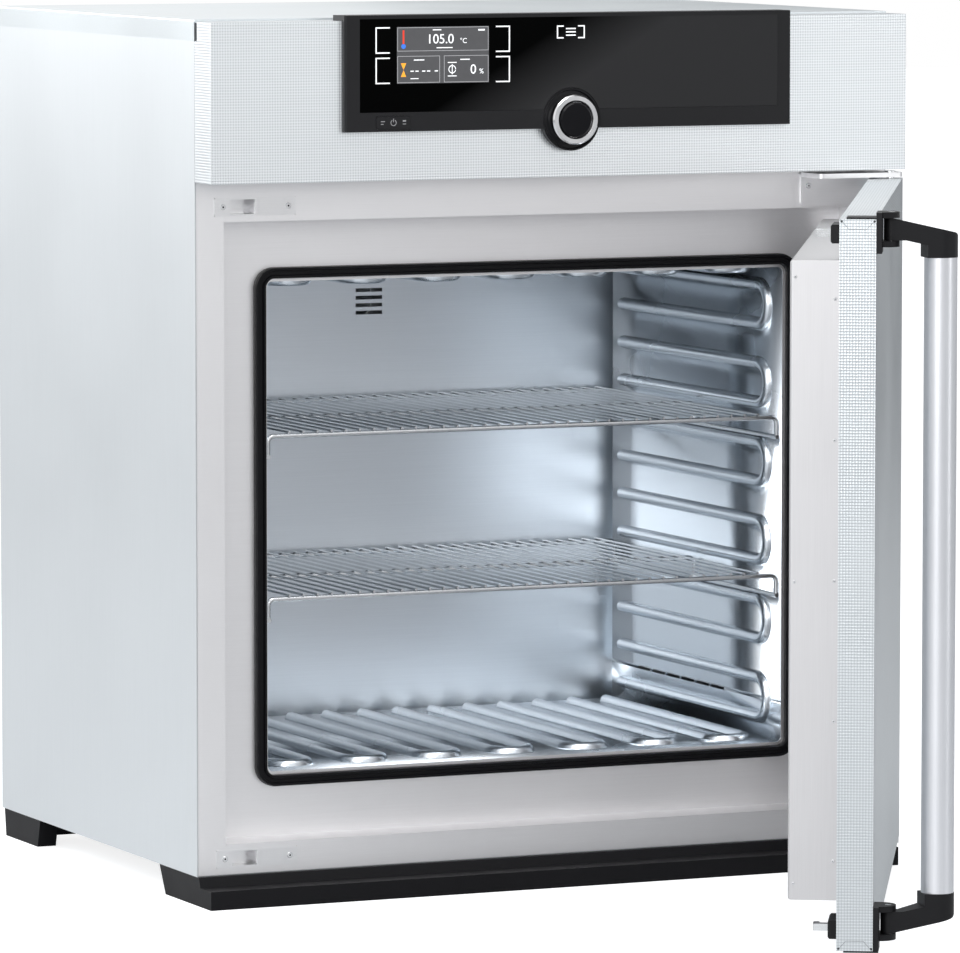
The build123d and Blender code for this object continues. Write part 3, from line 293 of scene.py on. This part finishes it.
vertical = (1400, 1400, 14)
level = (14, 1400, 1400)
panel_steel = steel_sheet("panel_steel", (0.68, 0.71, 0.73), (0.73, 0.76, 0.78), 0.42, 0.45, vertical)
lid_steel = steel_sheet("lid_steel", (0.62, 0.66, 0.68), (0.72, 0.76, 0.78), 0.36, 0.44, level)
dress(panel_steel, "side_panel_left", "side_panel_right", "rear_panel")
dress(lid_steel, "lid", "bottom_pan")

# Front frame, recess and chamber flange: plain stainless sheet with a soft satin finish.
frame_steel = steel_sheet("frame_steel", (0.84, 0.835, 0.845), (0.89, 0.885, 0.895), 0.38, 0.46, level)
dress(frame_steel, "front_frame", "recess_pan", "chamber_flange")

# Control panel face: stainless sheet embossed with a fine linen, so that it stays clean.
linen_steel = steel_sheet(
    "linen_steel", (0.52, 0.55, 0.57), (0.90, 0.93, 0.95), 0.34, 0.40, level, linen=(0.0027, 0.0002)
)
dress(linen_steel, "fascia")


# Chamber: five deep-drawn stainless walls. The U-shaped ribs are pressed out of the sheet and
# rounded by the drawing, and the slots for the air are punched through it.
chamber_x = 0.280
chamber_floor = 0.1205
chamber_top = 0.6005
chamber_front = 0.045
chamber_back = 0.444
rib_half = 0.0060
rib_foot = 0.0006
rib_flank = math.radians(84)
rib_rise = 0.007
rib_leg = 0.020
rib_pitch = 0.080
bend_centre_y = 0.093
leg_end_y = 0.423 - rib_half
wall_thickness = 0.0009
slot_row = -0.200
slot_half_height = 0.002
slot_start = 0.175
slot_length = 0.029
slot_pitch = 0.035


def finish_mesh(mesh, name, material, body, smooth=0.5):
    """Turns a bmesh into a piece with its material that rides on a body."""
    data = bpy.data.meshes.new(name)
    mesh.to_mesh(data)
    mesh.free()
    data.materials.append(material)
    if smooth:
        data.shade_smooth()
        data.set_sharp_from_angle(angle=smooth)
    piece = bpy.data.objects.new(name, data)
    bpy.context.scene.collection.objects.link(piece)
    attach(piece, body)
    return piece


def rib_section(mesh):
    """Half section of a rib across X, from the middle of its crown to its foot."""
    steps = 7  # along the flank
    corners = [mesh.verts.new((0, 0, rib_rise))]
    for step in range(1, steps + 1):
        turn = rib_flank * step / steps
        across = rib_half * math.sin(turn)
        rise = rib_foot + (rib_rise - rib_foot) * math.cos(turn)
        corners.append(mesh.verts.new((across, 0, rise)))
    corners.append(mesh.verts.new((rib_half + rib_foot, 0, 0)))
    return [mesh.edges.new(pair) for pair in zip(corners, corners[1:])]


def drawn_rib(centre):
    """One U of a wall that lies in XY with its inner side up, legs along Y."""
    mesh = bmesh.new()
    for leg in (-1, 1):
        for side in (-1, 1):
            section = rib_section(mesh)
            points = list({point for edge in section for point in edge.verts})
            bmesh.ops.scale(mesh, vec=(side, 1, 1), verts=points)
            bmesh.ops.translate(mesh, vec=(leg * rib_leg, leg_end_y, 0), verts=points)
            pulled = bmesh.ops.extrude_edge_only(mesh, edges=section)["geom"]
            front = [item for item in pulled if isinstance(item, bmesh.types.BMVert)]
            bmesh.ops.translate(mesh, vec=(0, bend_centre_y - leg_end_y, 0), verts=front)
            if side > 0:
                bmesh.ops.spin(mesh, geom=section + points, cent=(leg * rib_leg, leg_end_y, 0),
                               axis=(0, 0, 1), dvec=(0, 0, 0), angle=math.pi, steps=10)
            if leg < 0:
                front_edges = [item for item in pulled if isinstance(item, bmesh.types.BMEdge)]
                bmesh.ops.spin(mesh, geom=front_edges + front, cent=(0, bend_centre_y, 0),
                               axis=(0, 0, 1), dvec=(0, 0, 0), angle=math.pi, steps=24)
    bmesh.ops.translate(mesh, vec=(centre, 0, 0), verts=mesh.verts)
    bmesh.ops.remove_doubles(mesh, verts=mesh.verts, dist=0.00002)
    bmesh.ops.recalc_face_normals(mesh, faces=mesh.faces)
    if sum(face.normal.z for face in mesh.faces) < 0:
        bmesh.ops.reverse_faces(mesh, faces=mesh.faces)
    return mesh


def punched_sheet(mesh, low, high, slots):
    """Flat sheet in XY with rectangular slots cut out."""
    outline = ((low[0], low[1], 0), (high[0], low[1], 0), (high[0], high[1], 0), (low[0], high[1], 0))
    mesh.faces.new([mesh.verts.new(corner) for corner in outline])
    for slot_low, slot_high in slots:
        for place in (slot_low, slot_high):
            for normal in ((1, 0, 0), (0, 1, 0)):
                bmesh.ops.bisect_plane(mesh, geom=mesh.verts[:] + mesh.edges[:] + mesh.faces[:],
                                       plane_co=(*place, 0), plane_no=normal)
    holes = []
    for face in mesh.faces:
        middle = face.calc_center_median()
        for slot_low, slot_high in slots:
            if slot_low[0] < middle.x < slot_high[0] and slot_low[1] < middle.y < slot_high[1]:
                holes.append(face)
    bmesh.ops.delete(mesh, geom=holes, context="FACES")


def chamber_wall(name, node, place, low, high, rib_centres, slots, material):
    """Wall of the chamber, built lying flat, stood in its place and given its thickness."""
    mesh = bmesh.new()
    punched_sheet(mesh, low, high, slots)
    sheet_data = bpy.data.meshes.new(name + "_rib")
    for centre in rib_centres:
        rib = drawn_rib(centre)
        rib.to_mesh(sheet_data)
        rib.free()
        mesh.from_mesh(sheet_data)
    bpy.data.meshes.remove(sheet_data)
    mesh.transform(place)
    piece = finish_mesh(mesh, name, material, "cabinet", smooth=0.7)
    wall = piece.modifiers.new("sheet", "SOLIDIFY")
    wall.thickness = wall_thickness
    wall.offset = -1
    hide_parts(node)


chamber_steel = steel_sheet("chamber_steel", (0.70, 0.75, 0.80), (0.76, 0.81, 0.86), 0.24, 0.32, vertical)
back_steel = steel_sheet("back_steel", (0.68, 0.73, 0.78), (0.74, 0.79, 0.84), 0.28, 0.36, level)
wall_mid = (chamber_floor + chamber_top) / 2
side_centres = [(number - 2.5) * rib_pitch for number in range(6)]
floor_centres = [(number - 3) * rib_pitch for number in range(7)]
wall_half = (chamber_top - chamber_floor) / 2
intake = []
for number in range(6):
    slot_from = slot_start + slot_pitch * number
    slot_to = slot_from + slot_length
    intake.append(((slot_row - slot_half_height, slot_from), (slot_row + slot_half_height, slot_to)))
stand_right = Matrix(((0, 0, -1, chamber_x), (0, 1, 0, 0), (1, 0, 0, wall_mid), (0, 0, 0, 1)))
stand_left = Matrix(((0, 0, 1, -chamber_x), (0, 1, 0, 0), (-1, 0, 0, wall_mid), (0, 0, 0, 1)))
lie_floor = Matrix(((1, 0, 0, 0), (0, 1, 0, 0), (0, 0, 1, chamber_floor), (0, 0, 0, 1)))
hang_ceiling = Matrix(((-1, 0, 0, 0), (0, 1, 0, 0), (0, 0, -1, chamber_top), (0, 0, 0, 1)))
side_low = (-wall_half, chamber_front)
side_high = (wall_half, chamber_back)
flat_low = (-chamber_x, chamber_front)
flat_high = (chamber_x, chamber_back)
chamber_wall("right_wall", "chamber_right", stand_right, side_low, side_high, side_centres, intake,
             chamber_steel)
chamber_wall("left_wall", "chamber_left", stand_left, side_low, side_high, side_centres, [], chamber_steel)
chamber_wall("floor_wall", "chamber_floor", lie_floor, flat_low, flat_high, floor_centres, [], chamber_steel)
chamber_wall("ceiling_wall", "chamber_ceiling", hang_ceiling, flat_low, flat_high, floor_centres, [],
             chamber_steel)
dress(back_steel, "chamber_back")

# Grids: bright stainless wire, welded. Three cross rods bend down at the sides to two long rods
# that rest on the ribs, and thin wires lie on the cross rods from front to back.
rod_x = 0.2768
rod_front = 0.050
rod_back = 0.432
rod_radius = 0.0025
wire_radius = 0.00125
rod_bend = 0.006
rod_rise = 0.020
wire_count = 35
wire_pitch = 0.015
weld_sink = 0.0003
wire_steel = steel_sheet("wire_steel", (0.62, 0.64, 0.66), (0.74, 0.76, 0.78), 0.16, 0.24, (300, 300, 300))


def add_wires(name, paths, radius, material, body):
    """One curve object with a round wire along each path."""
    data = bpy.data.curves.new(name, "CURVE")
    data.dimensions = "3D"
    data.bevel_depth = radius
    data.bevel_resolution = 3
    data.use_fill_caps = True
    for path in paths:
        line = data.splines.new("POLY")
        line.points.add(len(path) - 1)
        for point, corner in zip(line.points, path):
            point.co = (*corner, 1)
    data.materials.append(material)
    piece = bpy.data.objects.new(name, data)
    bpy.context.scene.collection.objects.link(piece)
    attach(piece, body)
    return piece


def rounded_path(corners, radius, steps=5):
    """Points of a bent rod: the corners of a path, each bent to a radius."""
    path = [Vector(corners[0])]
    for before, corner, after in zip(corners, corners[1:], corners[2:]):
        corner = Vector(corner)
        inward = (Vector(before) - corner).normalized() * radius
        outward = (Vector(after) - corner).normalized() * radius
        centre = corner + inward + outward
        for step in range(steps + 1):
            turn = math.pi / 2 * step / steps
            path.append(centre - outward * math.cos(turn) - inward * math.sin(turn))
    path.append(Vector(corners[-1]))
    return path


for level_name, rod_low in (("upper", 0.42885), ("lower", 0.26885)):
    rod_top = rod_low + rod_rise
    body = level_name + "_grid"
    rods = []
    for rod_y in (rod_front, (rod_front + rod_back) / 2, rod_back):
        drop = rod_low + rod_radius * 0.4
        rods.append(rounded_path([(-rod_x, rod_y, drop), (-rod_x, rod_y, rod_top), (rod_x, rod_y, rod_top),
                                  (rod_x, rod_y, drop)], rod_bend))
    for side in (-1, 1):
        rods.append([(side * rod_x, rod_front - rod_radius, rod_low),
                     (side * rod_x, rod_back + rod_radius, rod_low)])
    frame_piece = add_wires("grid_rods_" + level_name, rods, rod_radius, wire_steel, body)
    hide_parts("grid_" + level_name)
    wires = []
    wire_z = rod_top + rod_radius + wire_radius - weld_sink
    for number in range(wire_count):
        wire_x = (number - wire_count // 2) * wire_pitch
        wires.append([(wire_x, rod_front - rod_radius, wire_z), (wire_x, rod_back + rod_radius, wire_z)])
    wire_piece = add_wires("grid_wires_" + level_name, wires, wire_radius, wire_steel, body)


# Door seal: black silicone, extruded and closed to a frame round the opening. It is matt with a
# faint bloom, and the door's plug presses against it.
def moulding(name, colour, roughness, grain=900.0, relief=0.00006, lighter=1.35, specular=0.5):
    """Moulded plastic or rubber with a fine grain and faint clouds in its gloss."""
    material, tree, shader, vector = start_material(name)
    fine = add_noise(tree, vector, grain, 2.0)
    broad = add_noise(tree, vector, 9.0, 3.0)
    lift = tuple(min(1.0, channel * lighter) for channel in colour)
    tree.links.new(blend_colours(tree, broad, colour, lift), shader.inputs["Base Color"])
    gloss = add_range(tree, broad, 0.3, 0.7, roughness - 0.05, roughness + 0.05)
    tree.links.new(gloss, shader.inputs["Roughness"])
    shader.inputs["Specular IOR Level"].default_value = specular
    add_bump(tree, shader, fine, relief)
    return material


silicone = moulding("black_silicone", (0.004, 0.004, 0.005), 0.42, grain=400.0, relief=0.00003,
                    specular=0.15)
dress(silicone, "door_gasket")

# Strike plates and hinge brackets: bright stainless plates on the front frame. Low button-head
# screws with a hexagon socket hold them.
plate_steel = steel_sheet("plate_steel", (0.82, 0.82, 0.83), (0.88, 0.88, 0.89), 0.26, 0.34, level)
dress(plate_steel, "strike_plate_top", "strike_plate_bottom", "hinge_bracket_top", "hinge_bracket_bottom")
bright_steel = steel_sheet("bright_steel", (0.72, 0.73, 0.74), (0.84, 0.85, 0.86), 0.18, 0.26,
                           (300, 300, 300))
dress(bright_steel, "hinge_pins", "hinge_bushings", "handle_pins", "latch_hook_top", "latch_hook_bottom")

door_hinge = Vector((0.362, -0.031, 0))
door_angle = math.radians(60.7)
door_turn = Matrix.Rotation(door_angle, 4, "Z")
door_turn = Matrix.Translation(door_hinge) @ door_turn @ Matrix.Translation(-door_hinge)


def add_screw(mesh, place, facing, radius, height=0.0009):
    """Low button head with a hexagon socket, drawn as a black hexagon: painted shade in the socket."""
    outward = Vector(facing).normalized()
    turn = Vector(facing).to_track_quat("Z", "Y").to_matrix().to_4x4()
    bmesh.ops.create_cone(mesh, cap_ends=True, segments=24, radius1=radius, radius2=radius * 0.78,
                          depth=height, matrix=Matrix.Translation(place) @ turn)
    spot = Vector(place) + outward * height - outward * height * 0.48
    socket = bmesh.ops.create_cone(mesh, cap_ends=True, segments=6, radius1=radius * 0.28,
                                   radius2=radius * 0.28, depth=0.0002,
                                   matrix=Matrix.Translation(spot) @ turn)
    # The socket's faces take the black second material: painted shade in the socket.
    for face in {face for point in socket["verts"] for face in point.link_faces}:
        face.material_index = 1


def screw_set(name, body, places, transform=None):
    """A group of like screws as one piece; places are (point, facing, radius)."""
    mesh = bmesh.new()
    for place, facing, radius in places:
        add_screw(mesh, place, facing, radius)
    if transform:
        mesh.transform(transform)
    piece = finish_mesh(mesh, name, bright_steel, body, smooth=0.6)
    # Second slot: black silicone for the painted shade in the sockets.
    piece.data.materials.append(silicone)
    return piece


front = (0, -1, 0)
strike_screws = []
for strike_z in (0.6765, 0.044):
    for screw_x in (-0.3433, -0.2753):
        strike_screws.append(((screw_x, -0.0003, strike_z), front, 0.0034))
screw_set("strike_screws", "cabinet", strike_screws)
hinge_screws = [((0.2853, -0.0026, screw_z), front, 0.0030) for screw_z in (0.684, 0.0365)]
screw_set("hinge_screws", "cabinet", hinge_screws)

# Cockpit: a charcoal moulding wraps over the top edge of the control panel and holds a dark glass.
# The glass's colour goes from black on the left to a lighter charcoal on the right along a slanting line: a
# painted reflection.
bezel_plastic = moulding("charcoal_moulding", (0.010, 0.010, 0.011), 0.42, specular=0.18)
dress(bezel_plastic, "cockpit_bezel", "power_key")
surround_plastic = moulding("surround_moulding", (0.005, 0.005, 0.006), 0.30, specular=0.2)
dress(surround_plastic, "knob_surround")
panel_glass, glass_tree, glass_shader, glass_vector = start_material("dark_glass")
glass_place = glass_tree.nodes.new("ShaderNodeSeparateXYZ")
glass_tree.links.new(glass_vector, glass_place.inputs[0])
glass_sink = add_math(glass_tree, "MULTIPLY", glass_place.outputs[2], -1.69)
glass_slant = add_math(glass_tree, "ADD", glass_place.outputs[0], glass_sink)
glass_cloud = add_noise(glass_tree, glass_vector, 3.0, 1.0)
# Painted reflection: the colour lightens to the right of the slanting line.
painted_reflection_mask = add_range(glass_tree, glass_slant, -1.443, -1.333, 0.0, 1.0)
glass_painted_reflection = blend_colours(glass_tree, painted_reflection_mask, (0.0012, 0.0013, 0.0013), (0.030, 0.030, 0.031))
glass_tree.links.new(glass_painted_reflection, glass_shader.inputs["Base Color"])
glass_gloss = add_range(glass_tree, glass_cloud, 0.3, 0.7, 0.05, 0.09)
glass_tree.links.new(glass_gloss, glass_shader.inputs["Roughness"])
glass_shader.inputs["Specular IOR Level"].default_value = 0.01
dress(panel_glass, "cockpit_glass", "display_module")

# Knob: a chromed ring, turned and polished, turns round a glossy black cap. The cap is moulded and
# is pressed to confirm.
ring_chrome, ring_tree, ring_shader, ring_vector = start_material("ring_chrome")
ring_cloud = add_noise(ring_tree, ring_vector, 60.0, 2.0)
ring_tint = blend_colours(ring_tree, ring_cloud, (0.74, 0.74, 0.75), (0.84, 0.84, 0.85))
ring_tree.links.new(ring_tint, ring_shader.inputs["Base Color"])
ring_gloss = add_range(ring_tree, ring_cloud, 0.3, 0.7, 0.10, 0.18)
ring_tree.links.new(ring_gloss, ring_shader.inputs["Roughness"])
ring_shader.inputs["Metallic"].default_value = 1.0
dress(ring_chrome, "knob_ring")
cap_plastic = moulding("cap_moulding", (0.003, 0.003, 0.004), 0.16, relief=0.00001, specular=0.15)
dress(cap_plastic, "knob_button")

# Display: a lit colour screen behind the glass with three framed tiles, bracket-shaped touch keys
# beside it and printed signs. Each mark is a thin layer that lies on the glass.
glass_front = -0.0505
layer = 0.00015


def lit_print(name, colour, glow):
    """Lit or printed colour with a faint unevenness."""
    material, tree, shader, vector = start_material(name)
    spread = add_noise(tree, vector, 160.0, 2.0)
    paler = tuple(min(1.0, channel * 1.12) for channel in colour)
    tone = blend_colours(tree, spread, colour, paler)
    tree.links.new(tone, shader.inputs["Base Color"])
    tree.links.new(tone, shader.inputs["Emission Color"])
    shader.inputs["Emission Strength"].default_value = glow
    shader.inputs["Specular IOR Level"].default_value = 0.05
    tree.links.new(add_range(tree, spread, 0.3, 0.7, 0.3, 0.4), shader.inputs["Roughness"])
    return material


def bar(x_low, z_low, x_high, z_high):
    """Rectangle in millimetres."""
    return [(x_low, z_low), (x_high, z_low), (x_high, z_high), (x_low, z_high)]


def rim(x_low, z_low, x_high, z_high, width=0.5):
    """Four bars that frame a rectangle."""
    return [bar(x_low, z_low, x_high, z_low + width), bar(x_low, z_high - width, x_high, z_high),
            bar(x_low, z_low + width, x_low + width, z_high - width),
            bar(x_high - width, z_low + width, x_high, z_high - width)]


def arc(centre_x, centre_z, inner, outer, start, end, steps=20):
    """Band along an arc; angles in degrees."""
    outline = []
    for radius, order in ((outer, range(steps + 1)), (inner, range(steps, -1, -1))):
        for step in order:
            turn = math.radians(start + (end - start) * step / steps)
            outline.append((centre_x + radius * math.cos(turn), centre_z + radius * math.sin(turn)))
    return outline


def disc(centre_x, centre_z, radius, steps=20):
    """Round outline."""
    turns = [2 * math.pi * step / steps for step in range(steps)]
    return [(centre_x + radius * math.cos(turn), centre_z + radius * math.sin(turn)) for turn in turns]


def bracket(x_open, x_closed, z_low, z_high, width=1.2):
    """Touch key sign: an upright bar with two feet."""
    inner = x_closed + math.copysign(width, x_open - x_closed)
    return [[(x_open, z_low), (x_closed, z_low), (x_closed, z_high), (x_open, z_high),
             (x_open, z_high - width), (inner, z_high - width), (inner, z_low + width),
             (x_open, z_low + width)]]


def add_layer(name, outlines, material, body="cabinet", base=glass_front, rise=layer):
    """Thin flat marks on a front face."""
    mesh = bmesh.new()
    for outline in outlines:
        face = mesh.faces.new([mesh.verts.new((x / 1000, base, z / 1000)) for x, z in outline])
        pulled = bmesh.ops.extrude_face_region(mesh, geom=[face])["geom"]
        points = [item for item in pulled if isinstance(item, bmesh.types.BMVert)]
        bmesh.ops.translate(mesh, vec=(0, -rise, 0), verts=points)
    bmesh.ops.recalc_face_normals(mesh, faces=mesh.faces)
    piece = finish_mesh(mesh, name, material, body, smooth=0)


def add_digits(name, rows, material):
    """Digits as thin meshes; rows are (text, left, foot, size) in millimetres."""
    joined = bmesh.new()
    for text, left, foot, size in rows:
        font = bpy.data.curves.new(name, "FONT")
        font.body = text
        font.size = size / 1000
        font.extrude = layer / 2
        holder = bpy.data.objects.new(name, font)
        data = bpy.data.meshes.new_from_object(holder)
        data.transform(Matrix.Translation((left / 1000, glass_front - layer * 1.5, foot / 1000))
                       @ Matrix.Rotation(math.pi / 2, 4, "X"))
        joined.from_mesh(data)
        bpy.data.objects.remove(holder)
        bpy.data.curves.remove(font)
        bpy.data.meshes.remove(data)
    bmesh.ops.remove_doubles(joined, verts=joined.verts, dist=0.000001)
    piece = finish_mesh(joined, name, material, "cabinet", smooth=0)


screen_grey = lit_print("screen_grey", (0.075, 0.075, 0.078), 0.35)
sign_white = lit_print("sign_white", (0.75, 0.76, 0.77), 0.55)
tile_grey = lit_print("tile_grey", (0.33, 0.33, 0.34), 0.4)
sign_red = lit_print("sign_red", (0.62, 0.05, 0.03), 0.5)
sign_blue = lit_print("sign_blue", (0.05, 0.16, 0.62), 0.5)
sign_orange = lit_print("sign_orange", (0.80, 0.33, 0.04), 0.5)
add_layer("screen_ground", [bar(-182.7, 794.3, -85.7, 848.8)], screen_grey, rise=layer / 2)
add_layer("screen_tiles", rim(-182.2, 825.4, -86.2, 848.3) + rim(-182.2, 795.0, -137.5, 820.8)
          + rim(-133.2, 795.0, -86.2, 820.8), tile_grey)
add_layer("touch_keys", bracket(-190.2, -205.1, 823.5, 848.8) + bracket(-190.2, -205.1, 794.3, 819.6)
          + bracket(-78.2, -63.3, 823.5, 848.8) + bracket(-78.2, -63.3, 794.3, 819.6)
          + bracket(-6.0, -13.2, 835.7, 848.3) + bracket(9.4, 16.6, 835.7, 848.3)
          + [bar(-3.5, z, 6.9, z + 1.2) for z in (838.2, 841.4, 844.6)], sign_white)
add_layer("thermometer_red", [bar(-176.7, 832.0, -174.9, 845.6)], sign_red)
add_layer("thermometer_blue", [disc(-175.8, 830.2, 2.4)], sign_blue)
add_layer("hourglass", [[(-178.6, 814.0), (-173.0, 814.0), (-175.8, 807.6)],
                        [(-178.6, 800.8), (-173.0, 800.8), (-175.8, 807.2)]], sign_orange)
add_layer("screen_marks", [bar(-145.0, 845.2, -136.0, 846.2), bar(-141.0, 828.0, -124.0, 828.9),
                           bar(-97.0, 844.4, -90.0, 846.0), bar(-165.0, 816.4, -154.0, 817.4),
                           bar(-116.0, 816.4, -106.0, 817.4), bar(-168.5, 798.6, -160.0, 799.4)]
          + [bar(x, 805.6, x + 3.4, 806.7) for x in (-168.5, -163.3, -156.3, -151.1, -143.0)]
          + [arc(-124.5, 807.5, 3.2, 4.0, 0, 350), bar(-129.2, 813.6, -119.8, 814.5),
             bar(-129.2, 800.6, -119.8, 801.5), bar(-124.9, 802.6, -124.1, 812.4)], sign_white)
add_digits("screen_digits", [("105.0", -151.5, 832.6, 13.0), ("°C", -116.5, 832.6, 7.0),
                             ("0", -105.5, 803.0, 13.0), ("%", -96.0, 803.0, 7.0)], sign_white)
key_print = lit_print("key_print", (0.30, 0.30, 0.31), 0.1)
add_layer("power_sign", [arc(-186.5, 756.9, 2.5, 3.1, 120, 420), bar(-186.8, 757.4, -186.2, 760.9),
                         bar(-199.8, 757.8, -195.6, 758.5), bar(-199.8, 755.2, -197.0, 755.9),
                         bar(-176.8, 757.8, -173.4, 759.2), bar(-176.8, 755.2, -173.4, 755.9)],
          key_print, body="power_button", base=-0.0510)

# Strike lips: a leaf of bright steel beside each pocket, stepped at its free end, that guides the
# door's hook into the pocket.
lip_mesh = bmesh.new()
for lip_z in (0.6765, 0.044):
    lip_outline = [(-0.3100, 0.0), (-0.3100, -0.0005), (-0.3097, -0.0008), (-0.3063, -0.0008),
                   (-0.3060, -0.0006), (-0.2798, -0.0006), (-0.2795, -0.0004), (-0.2795, 0.0)]
    lip_face = lip_mesh.faces.new([lip_mesh.verts.new((x, y, lip_z - 0.0072)) for x, y in lip_outline])
    lip_pull = bmesh.ops.extrude_face_region(lip_mesh, geom=[lip_face])["geom"]
    lip_points = [item for item in lip_pull if isinstance(item, bmesh.types.BMVert)]
    bmesh.ops.translate(lip_mesh, vec=(0, 0, 0.0144), verts=lip_points)
bmesh.ops.recalc_face_normals(lip_mesh, faces=lip_mesh.faces)
finish_mesh(lip_mesh, "strike_lips", plate_steel, "cabinet")

# Door: an outer pan of linen sheet, folded at its corners, and a plain inner pan with the deep plug.
# Fold lines and small corner holes show on the free edge, the holes as black discs that are painted shade,
# and small screws along the plug.
door_linen = steel_sheet("door_linen", (0.46, 0.49, 0.51), (0.78, 0.81, 0.83), 0.34, 0.40, level,
                         linen=(0.0027, 0.00016), turn=-door_angle)
dress(door_linen, "door_skin")
plug_steel = steel_sheet("plug_steel", (0.56, 0.555, 0.565), (0.62, 0.615, 0.625), 0.38, 0.46, vertical,
                         turn=-door_angle)
dress(plug_steel, "door_plug")
edge_x = -0.3725
fold_depth = 0.009
plug_side = -0.3329
fold_lines = []
for fold_z, inward in ((0.6915, -1), (0.029, 1)):
    fold_end = fold_z + inward * fold_depth
    fold_lines.append([Vector((edge_x, -0.0425, fold_z)), Vector((edge_x, -0.0345, fold_end)),
                       Vector((edge_x, -0.0185, fold_end)), Vector((edge_x, -0.0105, fold_z))])
fold_lines = [[door_turn @ point for point in line] for line in fold_lines]
seam_dark = moulding("seam_shadow", (0.20, 0.21, 0.22), 0.6)
add_wires("door_folds", fold_lines, 0.00025, seam_dark, "door")
# The corner holes are black discs on the edge: painted shade in the holes.
corner_hole_shade = []
for hole_z in (0.6895, 0.031):
    for hole_y in (-0.0415, -0.0120):
        corner_hole_shade.append([door_turn @ Vector((edge_x - 0.0002, hole_y, hole_z)),
                             door_turn @ Vector((edge_x + 0.0005, hole_y, hole_z))])
add_wires("door_corner_hole_shade", corner_hole_shade, 0.0011, silicone, "door")
plug_screws = []
for number in range(5):
    plug_screws.append(((plug_side, -0.0050, 0.105 + 0.128 * number), (-1, 0, 0), 0.0016))
for screw_z in (0.084, 0.360, 0.637):
    plug_screws.append(((plug_side, 0.0310, screw_z), (-1, 0, 0), 0.0016))
screw_set("plug_screws", "door", plug_screws, door_turn)

# Latches and handle: latch cases, brackets and arms are matt black mouldings, and the grip between
# the arms is a satin anodised aluminium tube.
black_moulding = moulding("black_moulding", (0.006, 0.006, 0.007), 0.44, specular=0.2)
dress(black_moulding, "latch_case_top", "latch_case_bottom", "handle_bracket_top", "handle_bracket_bottom",
      "handle_arm_top", "handle_arm_bottom")
tube_aluminium = steel_sheet("tube_aluminium", (0.70, 0.71, 0.74), (0.78, 0.79, 0.82), 0.30, 0.36, vertical)
dress(tube_aluminium, "handle_tube")

# Plinth: charcoal mouldings, two corner feet in front, a strip between them, two feet and a rail
# behind.
plinth_plastic = moulding("plinth_moulding", (0.005, 0.005, 0.006), 0.50, specular=0.15)
dress(plinth_plastic, "plinth_foot_left", "plinth_foot_right", "plinth_strip", "rear_feet", "rear_rail")

# Inside pieces: heating sheets, mineral wool, ducts of plain sheet, and the electronics, each in its
# plain finish.
foil = steel_sheet("heater_foil", (0.50, 0.50, 0.52), (0.62, 0.62, 0.64), 0.25, 0.40, (60, 60, 60))
dress(foil, "wall_heaters")
wool = moulding("mineral_wool", (0.42, 0.36, 0.20), 0.90, grain=120.0, relief=0.002)
dress(wool, "insulation", "door_insulation")
zinc_sheet = steel_sheet("plain_sheet", (0.42, 0.44, 0.46), (0.52, 0.54, 0.56), 0.35, 0.50, (40, 40, 40))
dress(zinc_sheet, "exhaust_duct", "exhaust_flap", "intake_channel", "compartment_floor", "power_supply")
board_green = moulding("board_green", (0.01, 0.09, 0.03), 0.35)
dress(board_green, "control_board")
part_black = moulding("part_black", (0.012, 0.012, 0.012), 0.5)
dress(part_black, "encoder", "flap_motor", "power_inlet")
